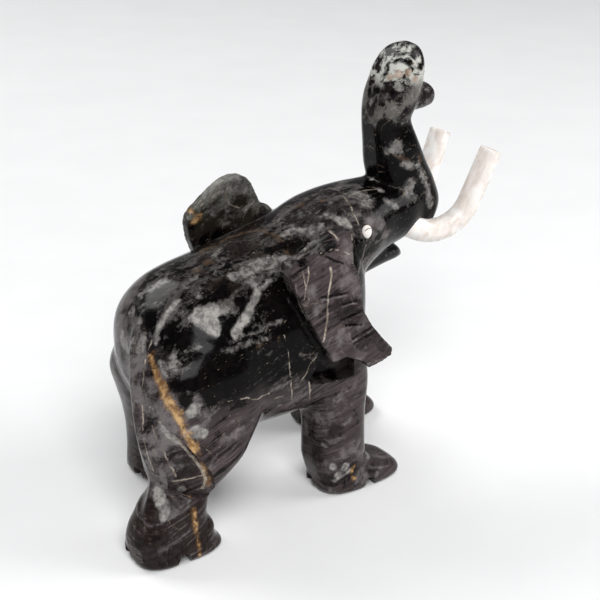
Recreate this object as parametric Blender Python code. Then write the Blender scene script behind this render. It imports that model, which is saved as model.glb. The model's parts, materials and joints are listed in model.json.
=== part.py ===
# Carved marble elephant with a raised trunk, white stone tusks and inlaid white eyes.
# Metres, +Z up, +X towards the head, +Y to the elephant's left, feet on z = 0.

import math

import bmesh
import bpy
import numpy as np
from mathutils import Matrix, Vector

# Driving dimensions, in metres
HEIGHT = 0.181            # soles to the top of the raised trunk
TUSK_DIAMETER = 0.0104
TUSK_TIP_DIAMETER = 0.0096
TUSK_CURL_RADIUS = 0.0185  # of the bend, on the tusk's own centre line
TUSK_CURL_ANGLE = math.radians(93.0)
TUSK_ROOT_LENGTH = 0.0094  # straight stretch behind the bend, inside the head
TUSK_END_LENGTH = 0.0243  # straight stretch past the bend, up to the flat end
TUSK_SPREAD = math.radians(10.0)
TUSK_DROP = math.radians(27.0)
EYE_LENGTH = 0.0048
EYE_HEIGHT = 0.0060
EYE_DEPTH = 0.0034
FIT_GAP = 0.0003          # between an inlaid piece and its socket
EAR_THICKNESS = 0.0084
FAR_EAR_THICKNESS = 0.0055
TAIL_WIDTH = 0.0056
TOE_NOTCH_WIDTH = 0.0070
TOE_NOTCH_HEIGHT = 0.0052
TOE_NOTCH_DEPTH = 0.0075
HEEL_NOTCH_DEPTH = 0.0045
EAR_GOUGE_WIDTH = 0.0018
EAR_GOUGE_DEPTH = 0.0011
CUT_STAND_OFF = 0.0003    # how far outside a face a carving cut begins

# The body is a free form, and its stations are in units, of which the whole height has 181
UNIT = HEIGHT / 181.0
SIDES = (("right", -1.0), ("left", 1.0))

HALF_WIDTH = 60.0         # further out than any part of the figure

# Across X: place, centre height, half width, rise above the centre, drop below it
TORSO = (
    (-54.5, 74, 5, 5, 5), (-52.5, 74, 14, 12, 14), (-46.5, 73.5, 25, 21, 24), (-37, 73, 32.5, 27.5, 31),
    (-26, 72.5, 36, 31.5, 35.5), (-10, 73, 37, 34, 38), (8, 74.5, 37, 37, 40), (24, 76, 36, 39.8, 40.5),
    (36, 78, 32, 42, 36.5), (44, 80, 26, 40, 30), (49, 84, 17, 33, 22), (52, 88, 8, 20, 10),
)
HEAD = (
    (16, 92, 18, 18, 16), (26, 97, 24, 19.5, 20), (36, 102, 25.5, 18, 22), (46, 106.5, 24, 15.5, 23.5),
    (56, 109.5, 21.5, 13.5, 20), (66, 111, 18.5, 12.3, 17.5), (76, 112, 16.8, 11, 15.8),
    (83, 112.5, 14, 8, 12),
)
# Across Z: height, centre x, centre y, half length, half width
TRUNK = (
    (98.5, 82.5, 0, 6, 7), (101.5, 84, 0, 11.5, 11), (110.6, 84.1, 0, 14.6, 13.2),
    (120.3, 81.6, 0, 14.2, 13), (130.1, 77.9, 0, 13, 12.3), (139.5, 75.3, 0, 11.3, 11.3),
    (146.5, 73.3, 0, 10.2, 10.2), (150.1, 72.8, 0, 10, 9.8), (154.5, 73.9, 0, 10.7, 10.8),
    (160, 75.5, 0, 11.2, 11.4), (166, 77.3, 0, 10.8, 11), (171, 78.6, 0, 10.3, 10.2),
    (175.5, 79.8, 0, 8.8, 8.6), (179, 80.6, 0, 6.2, 6), (181, 81, 0, 2.2, 2.2),
)
HIND_RIGHT = (
    (92, -24, -11, 12, 12), (84, -26, -14.5, 22, 18), (76, -29.5, -17.4, 26.5, 20),
    (66, -31, -19.5, 27.5, 20), (56.7, -32.4, -20.5, 26.4, 19.6), (51.3, -33.8, -21.5, 25.2, 19.2),
    (45.9, -36.6, -23, 23.9, 18.5), (42.4, -38.5, -24.5, 22.5, 17.8), (38, -40.4, -26, 20.4, 17),
    (33.4, -43, -27, 17.4, 15.2), (29.2, -45.3, -28, 13.9, 13), (25.3, -49.6, -28.9, 11.9, 11.8),
    (21.3, -52.8, -29.8, 13.2, 12.5), (17.2, -54.5, -30, 14, 12.8), (13.4, -55.6, -30, 15.2, 13.2),
    (8.1, -55, -30, 17.4, 13.2), (3.1, -53.8, -30, 16.6, 11.8),
)
HIND_LEFT = (
    (78, -28, 12, 14, 14), (68, -29, 15, 19, 18), (58, -30.6, 18, 20, 18), (47, -30.2, 21, 17.3, 15.5),
    (35.9, -29.6, 24, 14.2, 13.5), (25, -29, 26, 12.6, 12.6), (13.8, -28.2, 28, 12.2, 12.4),
    (5.4, -26, 29, 14.5, 12.8), (2, -25.5, 29, 14.5, 12.4),
)
FORE_RIGHT = (
    (74, 26, -12, 10, 12), (62, 29.5, -15.5, 16.5, 16), (52, 31.3, -18, 15.2, 16),
    (44.3, 31.5, -20, 13.8, 15), (38.2, 30.4, -22, 13, 13.8), (29.4, 29.6, -23.5, 12.7, 13.1),
    (20.2, 29, -24.5, 12.8, 13), (14.4, 29, -25, 13, 13), (5, 30.5, -25, 11.8, 12),
    (2, 30.5, -25, 10.6, 10.8),
)
FORE_LEFT = (
    (78, 32, 12, 11, 12), (68, 36.5, 14, 16, 15), (59, 42, 16.5, 17.5, 16.5), (50, 48, 19, 17, 16),
    (40, 53, 21, 14.5, 14.5), (30, 55.3, 23, 13, 13), (14, 56, 24.5, 12.8, 13), (6, 57, 24.5, 13, 13),
    (2, 57, 24.5, 12.4, 12.4),
)
# Along a path: x, y, z, half thickness in the path's upright plane, half width across it
TRUNK_LIP = (
    (74, 0, 158.5, 7.4, 8.6), (84, 0, 158.3, 6.8, 8.4), (90, 0, 157.4, 5.7, 7.6),
    (93.2, 0, 156.4, 4.4, 6.2), (95.2, 0, 155.8, 2.6, 4), (95.9, 0, 155.6, 1, 1.8),
)
LOWER_LIP = (
    (54, 0, 91.5, 8.5, 12), (62, 0, 91.5, 7.4, 10.4), (70, 0, 90.6, 5.6, 8.2), (77, 0, 88.8, 3.5, 5.6),
    (81.3, 0, 86.6, 1.2, 2.2),
)
# The tail's path, with its half width as a share of the full tail's
TAIL = (
    (-43, -1.5, 95, 0.6), (-49.5, -4, 89, 0.8), (-54, -8, 80.5, 1.0), (-57.6, -13.5, 71, 1.0),
    (-60, -19, 61.5, 1.0), (-60.6, -22, 51.5, 1.0), (-59.6, -24.5, 42, 1.0), (-58.5, -27, 34, 0.9),
    (-60.5, -30, 27, 1.2), (-63.5, -31.5, 20, 1.4), (-65.5, -32, 15, 0.5),
)
# Each ear's outline from the side, as x and z, from the rear corner over the top to the tip and back
EAR_OUTLINES = {
    "right": (
        (-1.5, 107.7), (-0.7, 110.3), (0.7, 111.9), (4.8, 112.8), (9.1, 113.8), (12.1, 115.2),
        (15.7, 117), (20, 118.8), (24, 119.4), (28.9, 119.4), (29, 114.4), (29, 106.5), (31.3, 99.9),
        (31, 91.8), (31.4, 86.9), (34.6, 80.4), (39.2, 74.2), (44.6, 67.7), (43.8, 65.2), (38.8, 63.6),
        (32.6, 62.6), (25.6, 63), (19, 64.4), (16.2, 67), (13.2, 73.6), (9.2, 80.3), (5.7, 86.9),
        (2.9, 94.4), (1.2, 100), (-0.8, 105.6),
    ),
    "left": (
        (-0.6, 92), (-4.2, 100.3), (-6, 108), (-5.5, 111.7), (-3.7, 114.2), (1.3, 118.8), (7.3, 123.7),
        (11.1, 125.7), (14.5, 126.6), (18.5, 126.3), (21.6, 124.9), (24.2, 121.6), (28.2, 114),
        (31.5, 107), (31.5, 98), (31, 88), (33.4, 82), (37.5, 76), (42, 70), (41.3, 68), (37, 66.5),
        (31.5, 65.5), (24, 66), (18, 68.5), (13.5, 74), (8.5, 82), (4, 87),
    ),
}
EAR_TOP_SPREAD = 35.6     # the outer face's distance from the middle plane at the ear's top
EAR_FLARE = 0.19          # how much further out it stands for each unit down
EAR_TOP = 120.4
EAR_WEDGE = (0.03, -0.02)  # how much thicker it grows for each unit forward, and for each unit up
# Flat cuts across the ear's outer side, each through three points as x, depth in from the outer face, and z
TIP_FACETS = (
    ((23.7, 0, 74.9), (40.5, 0, 69.5), (30, 1.3, 64)),
    ((23.7, 0, 74.9), (33.8, 0, 79.4), (41.5, 0.9, 69.6)),
)
EAR_FACETS = {
    "right": TIP_FACETS + (((4.8, 0, 112), (20.7, 0, 117.3), (12.5, 1.5, 115.8)),),
    "left": TIP_FACETS,
}
# The root that carries the ear, on the left: height, centre x, centre y, half length, half width
EAR_ROOT = (
    (66, 26, 33, 5, 6), (74, 25, 34, 8, 8), (84, 24, 33, 8.5, 8), (94, 24, 31, 8.5, 8.5),
    (103, 25, 28.5, 7.5, 8.5), (109, 26.5, 27.5, 5.5, 7), (112, 27.5, 27.5, 2.5, 3.5),
)
# Chisel gouges across the ear's face: the gouge's middle as x and z, its length and its slope in degrees
EAR_GOUGES = (
    (17.8, 96.8, 15.0, -6.0), (24.4, 92.0, 9.0, -4.0), (25.0, 86.8, 12.0, 3.0),
    (25.0, 83.0, 11.0, -14.0), (29.2, 78.4, 12.5, 16.0), (29.8, 76.4, 12.5, 14.0),
)
# Two scoops in the right ear's top edge: the middle, the length, width and depth, and the slope in degrees
TOP_SCOOPS = (
    ((12.5, -31.5, 116.2), (22.0, 4.4, 5.0), 20.0), ((17.2, -36.0, 116.4), (10.0, 6.0, 8.0), 14.0),
)
# Hollows in the right side, as an outline of x and z, and the floor's y at x = 0 and its slope along x
THIGH_HOLLOW = (
    ((-59.5, 62), (-50.6, 50.7), (-42.1, 38), (-39.2, 28.8), (-40.3, 25), (-49.4, 26.3), (-58.1, 32.6)),
    (-57.0, -0.45),
)
FLANK_HOLLOW = (
    ((8.6, 59.7), (12.1, 66), (15, 69.5), (21, 70.5), (30, 66), (34, 60), (33, 54), (24, 53.8),
    (18, 55), (10.1, 57)),
    (-28.0, 0.0),
)
# Feet: the leg's x and y, heel, toe, half width, the height of the ankle, and the toe notch's x
FEET = {
    "fore_right": (30, -25.5, 18, 60, 13.6, 15, 39.2),
    "fore_left": (56, 24.5, 43.5, 85, 13.3, 16, 64.5),
    "hind_right": (-52, -30.2, -72.6, -34, 13.8, 16, -55.6),
    "hind_left": (-27, 29, -40.5, -4, 13.3, 16, -24),
}
HEEL_NOTCH = 4.0          # how far inwards of the leg's own y the notch in the heel stands
NOTCH_TOP_SHARE = 0.28    # a notch's half width at its top, as a share of its width on the ground
# A foot from the ankle down, in units: half length and half width at the ankle, and how far forward it is
ANKLE_HALF = 9.0
ANKLE_AHEAD = 2.0
# How far below the ankle the instep is, its half length, and how much narrower than the foot it is
INSTEP_DROP = 5.0
INSTEP_HALF = 12.0
INSTEP_NARROWER = 2.0
# The toes' level as a share of the ankle's height, how far back it is, and what length and width lose
TOES_HEIGHT = 0.42
TOES_BACK = 1.2
TOES_SHORTER = 2.8
TOES_NARROWER = 0.5
# The sole's rounded edge: its height, what it takes off length and width, and what the flat sole loses
SOLE_EDGE = 2.4
SOLE_EDGE_SHORTER = 0.6
SOLE_EDGE_NARROWER = 0.4
SOLE_SHORTER = 2.4
SOLE_NARROWER = 2.0
# How each form is cut: the number of sections, the number of sides, and how square its sections are
CUTS = {
    "torso": (24, 28, 2.2), "head": (13, 24, 2.3), "trunk": (24, 20, 2.4), "trunk_lip": (8, 14, 2.4),
    "lower_lip": (7, 12, 2.2), "hind_leg_right": (22, 24, 2.5), "hind_leg_left": (13, 22, 2.4),
    "fore_leg_right": (14, 24, 2.4), "fore_leg_left": (13, 22, 2.4), "tail": (16, 10, 2.0),
    "foot": (8, 24, 3.2), "ear_root": (9, 14, 2.2),
}
BELLY_SQUARENESS = 2.6    # of the torso's lower half
TRUNK_FLAT = 0.955        # the trunk's rear is flat past this share of its half length
FORE_LEG_FLAT = 0.96
TAIL_THICKNESS_SHARE = 0.9  # of its width
TUSK_TAPER_POWER = 1.5    # the tusk thins mostly towards its tip
# Tusk sockets and eyes, on the right side of the head
TUSK_ROOT = (74.6, -9.5, 105.4)
EYE_PLACE = (46.4, -22.6, 111.4)

STONE = {
    "carved_elephant": ((0.045, 0.040, 0.040, 1.0), 0.16),
    "tusk": ((0.86, 0.83, 0.78, 1.0), 0.28),
    "eye": ((0.80, 0.78, 0.74, 1.0), 0.22),
}


def clear_objects():
    for obj in list(bpy.data.objects):
        bpy.data.objects.remove(obj, do_unlink=True)


def collection(name):
    made = bpy.data.collections.new(name)
    bpy.context.scene.collection.children.link(made)
    return made


def stone(name, colour, roughness):
    material = bpy.data.materials.new(name)
    material.use_nodes = True
    shader = material.node_tree.nodes["Principled BSDF"]
    shader.inputs["Base Color"].default_value = colour
    shader.inputs["Roughness"].default_value = roughness
    shader.inputs["Metallic"].default_value = 0.0
    material.diffuse_color = colour
    return material


def curve_through(stations, count):
    # Catmull-Rom: between two stations, a cubic whose slope at each is half the step between its neighbours
    given = np.asarray(stations, float)
    padded = np.vstack([2 * given[0] - given[1], given, 2 * given[-1] - given[-2]])
    along = np.linspace(0, len(given) - 1, count)
    start = np.minimum(along.astype(int), len(given) - 2)
    s = (along - start)[:, None]
    a, b, c, d = (padded[start + k] for k in range(4))
    bend, twist = 2 * a - 5 * b + 4 * c - d, 3 * b - a - 3 * c + d
    return 0.5 * (2 * b + (c - a) * s + bend * s ** 2 + twist * s ** 3)


def round_section(sides, power, below=None):
    # A superellipse: cosine and sine raised to 2 / power, with their signs kept; its lower half may be
    # squarer
    angle = np.arange(sides) / sides * 2 * np.pi
    c, s = np.cos(angle), np.sin(angle)
    power = np.where(s < 0, below or power, power)
    return np.sign(c) * np.abs(c) ** (2 / power), np.sign(s) * np.abs(s) ** (2 / power)


def sections_across_x(stations, count, sides, power, below=None):
    at = curve_through(stations, count)
    c, s = round_section(sides, power, below)
    x = at[:, 0:1] + 0 * c
    y = at[:, 2:3] * c
    z = at[:, 1:2] + np.where(s > 0, at[:, 3:4], at[:, 4:5]) * s
    return np.stack([x, y, z], -1) * UNIT


def sections_across_z(stations, count, sides, power, flat=1.0):
    # The rear of each section is cut flat past that share of its half length
    at = curve_through(stations, count)
    c, s = round_section(sides, power)
    x = at[:, 1:2] + at[:, 3:4] * np.maximum(c, -flat)
    y = at[:, 2:3] + at[:, 4:5] * s
    return np.stack([x, y, at[:, 0:1] + 0 * c], -1) * UNIT


def sections_along_path(stations, count, sides, power):
    at = curve_through(stations, count)
    c, s = round_section(sides, power)
    along = np.gradient(at[:, :3], axis=0)
    along /= np.linalg.norm(along, axis=1, keepdims=True)
    across = np.cross([0.0, 1.0, 0.0], along)
    across /= np.linalg.norm(across, axis=1, keepdims=True)
    sideways = np.cross(along, across)
    depth = (at[:, 3, None] * c)[..., None] * across[:, None]
    width = (at[:, 4, None] * s)[..., None] * sideways[:, None]
    return (at[:, None, :3] + depth + width) * UNIT


def new_object(name, mesh, home, material):
    obj = bpy.data.objects.new(name, mesh)
    mesh.materials.append(material)
    home.objects.link(obj)
    return obj


def as_tool(obj):
    obj.hide_render = True
    obj.display_type = "WIRE"
    return obj


def loft(name, sections, home, material):
    # Joins each section to the next with quads, and closes both ends with a fan
    rings, sides, _ = sections.shape
    bm = bmesh.new()
    grid = [[bm.verts.new(point) for point in ring] for ring in sections]
    for low, high in zip(grid, grid[1:]):
        for k in range(sides):
            n = (k + 1) % sides
            bm.faces.new((low[k], low[n], high[n], high[k]))
    for ring in (grid[0], grid[-1]):
        middle = bm.verts.new(sum((v.co for v in ring), Vector()) / sides)
        for k in range(sides):
            bm.faces.new((ring[k], ring[(k + 1) % sides], middle))
    bmesh.ops.recalc_face_normals(bm, faces=bm.faces)
    mesh = bpy.data.meshes.new(name)
    bm.to_mesh(mesh)
    bm.free()
    return new_object(name, mesh, home, material)


def flat_cut(bm, point, normal):
    # Carves away everything past a plane and closes the cut
    geometry = bm.verts[:] + bm.edges[:] + bm.faces[:]
    cut = bmesh.ops.bisect_plane(
        bm, geom=geometry, dist=1e-7, plane_co=point, plane_no=normal, clear_outer=True, clear_inner=False)
    edges = [e for e in cut["geom_cut"] if isinstance(e, bmesh.types.BMEdge)]
    if edges:
        bmesh.ops.edgeloop_fill(bm, edges=edges)


def slab(outline, outer, inner, facets=(), merge=0.01):
    # A prism between two sloping planes, each with y as its value at x = z = 0 and its slopes along x and z
    bm = bmesh.new()
    near, far = (
        [bm.verts.new((x, y0 + sx * x + sz * z, z)) for x, z in outline] for y0, sx, sz in (outer, inner))
    bm.faces.new(near)
    bm.faces.new(far[::-1])
    for k in range(len(outline)):
        n = (k + 1) % len(outline)
        bm.faces.new((near[n], near[k], far[k], far[n]))
    bmesh.ops.recalc_face_normals(bm, faces=bm.faces)
    for point, normal in facets:
        flat_cut(bm, Vector(point), Vector(normal).normalized())
    if merge:
        bmesh.ops.remove_doubles(bm, verts=bm.verts, dist=merge)
    bmesh.ops.triangulate(bm, faces=bm.faces)
    return bm


def finished(bm, name, matrix, home, material):
    bmesh.ops.transform(bm, matrix=matrix, verts=bm.verts)
    bmesh.ops.recalc_face_normals(bm, faces=bm.faces)
    mesh = bpy.data.meshes.new(name)
    bm.to_mesh(mesh)
    bm.free()
    return new_object(name, mesh, home, material)


def ear_outer(z):
    return EAR_TOP_SPREAD + (EAR_TOP - z) * EAR_FLARE


def facet_plane(corners):
    # The plane through three points, each given by its depth in from the outer face, and its outward normal
    a, b, c = (Vector((x, ear_outer(z) - deep, z)) for x, deep, z in corners)
    normal = (b - a).cross(c - a).normalized()
    return a, normal if normal.y > 0 else -normal


def ear(name, side, sign, thickness, home, material):
    # A flat-faced plate whose inner side is the outer plane carried in by its thickness
    forward, up = EAR_WEDGE
    outer = (ear_outer(0.0), 0.0, -EAR_FLARE)
    inner = (ear_outer(0.0) - thickness / UNIT + up * 100, -forward, -EAR_FLARE - up)
    facets = [facet_plane(corners) for corners in EAR_FACETS[side]]
    matrix = Matrix.Diagonal((UNIT, sign * UNIT, UNIT, 1.0))
    return finished(slab(EAR_OUTLINES[side], outer, inner, facets), name, matrix, home, material)


def hollow(name, values, home, material):
    outline, (floor, slope) = values
    bm = slab(outline, (-HALF_WIDTH, 0.0, 0.0), (floor, slope, 0.0))
    return as_tool(finished(bm, name, Matrix.Scale(UNIT, 4), home, material))


def foot(name, values, home, material):
    leg_x, leg_y, heel, toe, half, high, _ = values
    middle, reach = (heel + toe) / 2, (toe - heel) / 2
    ankle_x = leg_x + ANKLE_AHEAD
    stations = (
        (high, ankle_x, leg_y, ANKLE_HALF, ANKLE_HALF),
        (high - INSTEP_DROP, ankle_x, leg_y, INSTEP_HALF, half - INSTEP_NARROWER),
        (high * TOES_HEIGHT, middle - TOES_BACK, leg_y, reach - TOES_SHORTER, half - TOES_NARROWER),
        (SOLE_EDGE, middle, leg_y, reach - SOLE_EDGE_SHORTER, half - SOLE_EDGE_NARROWER),
        (0, middle, leg_y, reach - SOLE_SHORTER, half - SOLE_NARROWER),
    )
    return loft(name, sections_across_z(stations, *CUTS["foot"]), home, material)


def notch(name, place, depth, turn, home, material):
    # A cut up from the ground, narrower at its top, that reaches in along the turned Y axis
    low = -CUT_STAND_OFF
    half_low, half_top = TOE_NOTCH_WIDTH / 2, TOE_NOTCH_WIDTH * NOTCH_TOP_SHARE
    outline = ((-half_low, low), (half_low, low), (half_top, TOE_NOTCH_HEIGHT), (-half_top, TOE_NOTCH_HEIGHT))
    bm = slab(outline, (-TOE_NOTCH_DEPTH, 0.0, 0.0), (depth, 0.0, 0.0), merge=0.0)
    return as_tool(finished(bm, name, Matrix.Translation(place) @ turn, home, material))


def gouge(name, place, size, turn, home, material):
    # A chisel cut: an octahedron drawn out to its length, width and twice its depth
    bm = bmesh.new()
    bmesh.ops.create_uvsphere(bm, u_segments=4, v_segments=2, radius=0.5)
    stretch = Matrix.Diagonal((size[0], size[1], size[2], 1.0))
    return as_tool(finished(bm, name, Matrix.Translation(place) @ turn @ stretch, home, material))


def tusk_path(side):
    # Straight out of the socket, round the bend, and straight to the flat end
    root = Vector((TUSK_ROOT[0], side * abs(TUSK_ROOT[1]), TUSK_ROOT[2])) * UNIT
    steps = 9
    flat = [(0.0, 0.0), (TUSK_ROOT_LENGTH * 0.5, 0.0), (TUSK_ROOT_LENGTH, 0.0)]
    for k in range(1, steps + 1):
        a = TUSK_CURL_ANGLE * k / steps
        flat.append((TUSK_ROOT_LENGTH + TUSK_CURL_RADIUS * math.sin(a), TUSK_CURL_RADIUS * (1 - math.cos(a))))
    ahead = Vector((math.cos(TUSK_CURL_ANGLE), math.sin(TUSK_CURL_ANGLE)))
    last = Vector(flat[-1]) + ahead * TUSK_END_LENGTH
    flat.append((last.x, last.y))
    turn = Matrix.Rotation(side * TUSK_SPREAD, 3, "Z") @ Matrix.Rotation(TUSK_DROP, 3, "Y")
    return [root + turn @ Vector((u, 0.0, w)) for u, w in flat]


def rod(name, points, radii, home, material):
    # A round rod along its points, made as a bevelled curve and turned to a welded mesh
    data = bpy.data.curves.new(name + "_path", "CURVE")
    data.dimensions = "3D"
    data.bevel_depth = 1.0
    data.bevel_resolution = 6
    data.use_fill_caps = True
    spline = data.splines.new("POLY")
    spline.points.add(len(points) - 1)
    for point, place, radius in zip(spline.points, points, radii):
        point.co = (*place, 1.0)
        point.radius = radius
    path = bpy.data.objects.new(name + "_path", data)
    home.objects.link(path)
    depsgraph = bpy.context.evaluated_depsgraph_get()
    mesh = bpy.data.meshes.new_from_object(path.evaluated_get(depsgraph))
    mesh.name = name
    bpy.data.objects.remove(path, do_unlink=True)
    bm = bmesh.new()
    bm.from_mesh(mesh)
    bmesh.ops.remove_doubles(bm, verts=bm.verts, dist=1e-6)
    bmesh.ops.recalc_face_normals(bm, faces=bm.faces)
    bm.to_mesh(mesh)
    bm.free()
    mesh.materials.clear()
    return new_object(name, mesh, home, material)


def tusk(name, side, gap, home, material):
    points = tusk_path(side)
    share = np.linspace(0.0, 1.0, len(points)) ** TUSK_TAPER_POWER
    radii = [TUSK_DIAMETER / 2 + (TUSK_TIP_DIAMETER - TUSK_DIAMETER) / 2 * s + gap for s in share]
    if gap:
        # The cutter for the socket reaches a gap further than the tusk at both ends
        points[0] += (points[0] - points[1]).normalized() * gap
        points[-1] += (points[-1] - points[-2]).normalized() * gap
    return rod(name, points, radii, home, material)


def eye(name, side, gap, home, material):
    bm = bmesh.new()
    bmesh.ops.create_uvsphere(bm, u_segments=14, v_segments=8, radius=0.5)
    size = Matrix.Diagonal((EYE_LENGTH + 2 * gap, EYE_DEPTH + 2 * gap, EYE_HEIGHT + 2 * gap, 1.0))
    place = Vector((EYE_PLACE[0], side * abs(EYE_PLACE[1]), EYE_PLACE[2])) * UNIT
    return finished(bm, name, Matrix.Translation(place) @ size, home, material)


def carve(body, tool, operation, solver="EXACT"):
    step = body.modifiers.new(tool.name, "BOOLEAN")
    step.operation = operation
    step.object = tool
    step.solver = solver


def add_body_forms(home, tools, marble):
    torso = sections_across_x(TORSO, *CUTS["torso"], below=BELLY_SQUARENESS)
    body = loft("carved_elephant", torso, home, marble)
    half = TAIL_WIDTH / UNIT / 2
    tail = [(x, y, z, half * TAIL_THICKNESS_SHARE * share, half * share) for x, y, z, share in TAIL]
    lofts = {
        "head": sections_across_x(HEAD, *CUTS["head"]),
        "trunk": sections_across_z(TRUNK, *CUTS["trunk"], flat=TRUNK_FLAT),
        "trunk_lip": sections_along_path(TRUNK_LIP, *CUTS["trunk_lip"]),
        "lower_lip": sections_along_path(LOWER_LIP, *CUTS["lower_lip"]),
        "hind_leg_right": sections_across_z(HIND_RIGHT, *CUTS["hind_leg_right"]),
        "hind_leg_left": sections_across_z(HIND_LEFT, *CUTS["hind_leg_left"]),
        "fore_leg_right": sections_across_z(FORE_RIGHT, *CUTS["fore_leg_right"], flat=FORE_LEG_FLAT),
        "fore_leg_left": sections_across_z(FORE_LEFT, *CUTS["fore_leg_left"]),
        "tail": sections_along_path(tail, *CUTS["tail"]),
    }
    forms = [loft(name, sections, tools, marble) for name, sections in lofts.items()]
    forms += [foot("foot_" + place, values, tools, marble) for place, values in FEET.items()]
    thickness = {"right": EAR_THICKNESS, "left": FAR_EAR_THICKNESS}
    for side, sign in SIDES:
        root = [(z, x, sign * y, length, width) for z, x, y, length, width in EAR_ROOT]
        forms.append(loft("ear_root_" + side, sections_across_z(root, *CUTS["ear_root"]), tools, marble))
        forms.append(ear("ear_" + side, side, sign, thickness[side], tools, marble))
        cut_ear_gouges(forms[-1], side, sign, tools, marble)
    for form in forms:
        carve(body, as_tool(form), "UNION")
    return body


def cut_toe_notches(body, tools, marble):
    for place, values in FEET.items():
        _, leg_y, heel, _, half, _, notch_x = values
        outward = math.copysign(1.0, leg_y)
        toe_turn = Matrix.Rotation(math.pi / 2 * (1.0 + outward), 4, "Z")
        toe_place = Vector((notch_x, leg_y + outward * half, 0.0)) * UNIT
        toe_notch = notch(f"toe_notch_{place}", toe_place, TOE_NOTCH_DEPTH, toe_turn, tools, marble)
        carve(body, toe_notch, "DIFFERENCE")
        heel_turn = Matrix.Rotation(-math.pi / 2, 4, "Z")
        heel_place = Vector((heel, leg_y - outward * HEEL_NOTCH, 0.0)) * UNIT
        heel_notch = notch(f"heel_notch_{place}", heel_place, HEEL_NOTCH_DEPTH, heel_turn, tools, marble)
        carve(body, heel_notch, "DIFFERENCE")


def cut_ear_gouges(ear_form, side, sign, tools, marble):
    for k, (x, z, length, slope) in enumerate(EAR_GOUGES):
        place = Vector((x, sign * ear_outer(z), z)) * UNIT
        place.y += sign * CUT_STAND_OFF
        lean = Matrix.Rotation(sign * math.atan(EAR_FLARE), 4, "X")
        turn = lean @ Matrix.Rotation(-math.radians(slope), 4, "Y")
        size = (length * UNIT, 2 * EAR_GOUGE_DEPTH, EAR_GOUGE_WIDTH)
        carve(ear_form, gouge(f"ear_gouge_{side}_{k}", place, size, turn, tools, marble), "DIFFERENCE")
    if side == "right":
        for k, (place, size, slope) in enumerate(TOP_SCOOPS):
            turn = Matrix.Rotation(-math.radians(slope), 4, "Y")
            scoop = gouge(f"ear_scoop_{k}", Vector(place) * UNIT, Vector(size) * UNIT, turn, tools, marble)
            carve(ear_form, scoop, "DIFFERENCE")


def cut_hollows(body, tools, marble):
    carve(body, hollow("thigh_hollow", THIGH_HOLLOW, tools, marble), "DIFFERENCE")
    carve(body, hollow("flank_hollow", FLANK_HOLLOW, tools, marble), "DIFFERENCE")


def cut_sockets(body, tools, marble):
    for side, sign in SIDES:
        tusk_socket = as_tool(tusk("tusk_socket_" + side, sign, FIT_GAP, tools, marble))
        carve(body, tusk_socket, "DIFFERENCE", "MANIFOLD")
    for side, sign in SIDES:
        eye_socket = as_tool(eye("eye_socket_" + side, sign, FIT_GAP, tools, marble))
        carve(body, eye_socket, "DIFFERENCE")


def centre_over_origin(bodies):
    # Moves every mesh, the carving tools too, so that the figure stands with its middle over the origin
    bpy.context.view_layer.update()
    depsgraph = bpy.context.evaluated_depsgraph_get()
    corners = np.concatenate([np.array(obj.evaluated_get(depsgraph).bound_box) for obj in bodies])
    middle = (corners.min(axis=0) + corners.max(axis=0)) / 2
    for obj in bpy.data.objects:
        obj.data.transform(Matrix.Translation((-middle[0], -middle[1], 0.0)))


def main():
    clear_objects()
    home = collection("marble_elephant")
    tools = collection("carving_tools")
    marble = stone("dark_marble", *STONE["carved_elephant"])
    tusk_stone = stone("white_tusk_stone", *STONE["tusk"])
    eye_stone = stone("white_eye_stone", *STONE["eye"])
    body = add_body_forms(home, tools, marble)
    cut_toe_notches(body, tools, marble)
    cut_hollows(body, tools, marble)
    cut_sockets(body, tools, marble)
    bodies = [body]
    for side, sign in SIDES:
        bodies.append(tusk("tusk_" + side, sign, 0.0, home, tusk_stone))
        bodies.append(eye("eye_" + side, sign, 0.0, home, eye_stone))
    centre_over_origin(bodies)


main()
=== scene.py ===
# A walking elephant carved in dark polished marble, with white stone tusks and inlaid eyes.
import json
import math

import bmesh
import bpy
import numpy as np
from mathutils import Matrix, Vector

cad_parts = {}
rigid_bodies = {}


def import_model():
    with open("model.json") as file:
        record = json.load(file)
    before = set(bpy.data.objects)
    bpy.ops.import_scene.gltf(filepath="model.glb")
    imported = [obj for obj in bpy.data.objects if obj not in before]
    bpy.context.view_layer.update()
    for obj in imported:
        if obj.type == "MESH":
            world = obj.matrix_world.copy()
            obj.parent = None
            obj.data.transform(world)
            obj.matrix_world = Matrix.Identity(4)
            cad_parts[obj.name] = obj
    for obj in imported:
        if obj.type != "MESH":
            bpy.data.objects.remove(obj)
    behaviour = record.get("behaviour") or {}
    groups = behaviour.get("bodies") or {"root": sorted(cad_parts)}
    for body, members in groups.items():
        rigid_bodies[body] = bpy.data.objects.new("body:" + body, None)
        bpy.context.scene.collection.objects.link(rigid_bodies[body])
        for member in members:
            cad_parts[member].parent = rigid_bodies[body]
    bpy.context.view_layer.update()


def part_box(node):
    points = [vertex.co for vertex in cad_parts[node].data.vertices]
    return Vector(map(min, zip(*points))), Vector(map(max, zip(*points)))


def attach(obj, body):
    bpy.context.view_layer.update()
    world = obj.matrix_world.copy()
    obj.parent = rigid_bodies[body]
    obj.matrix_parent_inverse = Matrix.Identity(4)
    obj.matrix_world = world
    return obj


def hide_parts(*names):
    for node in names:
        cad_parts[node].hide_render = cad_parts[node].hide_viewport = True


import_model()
mm = 0.001

# Every station below is in millimetres from the figure's own middle line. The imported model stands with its
# whole length over the origin, so the inlaid eye gives how far the stations are moved.
figure = {"eye": (46.4, -22.6, 111.4)}
shift = np.array(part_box("eye_right")).mean(axis=0) / mm - figure["eye"]


def toRow(points):
    # figure millimetres to the row's metres
    return (np.asarray(points, float) + shift) * mm


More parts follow.
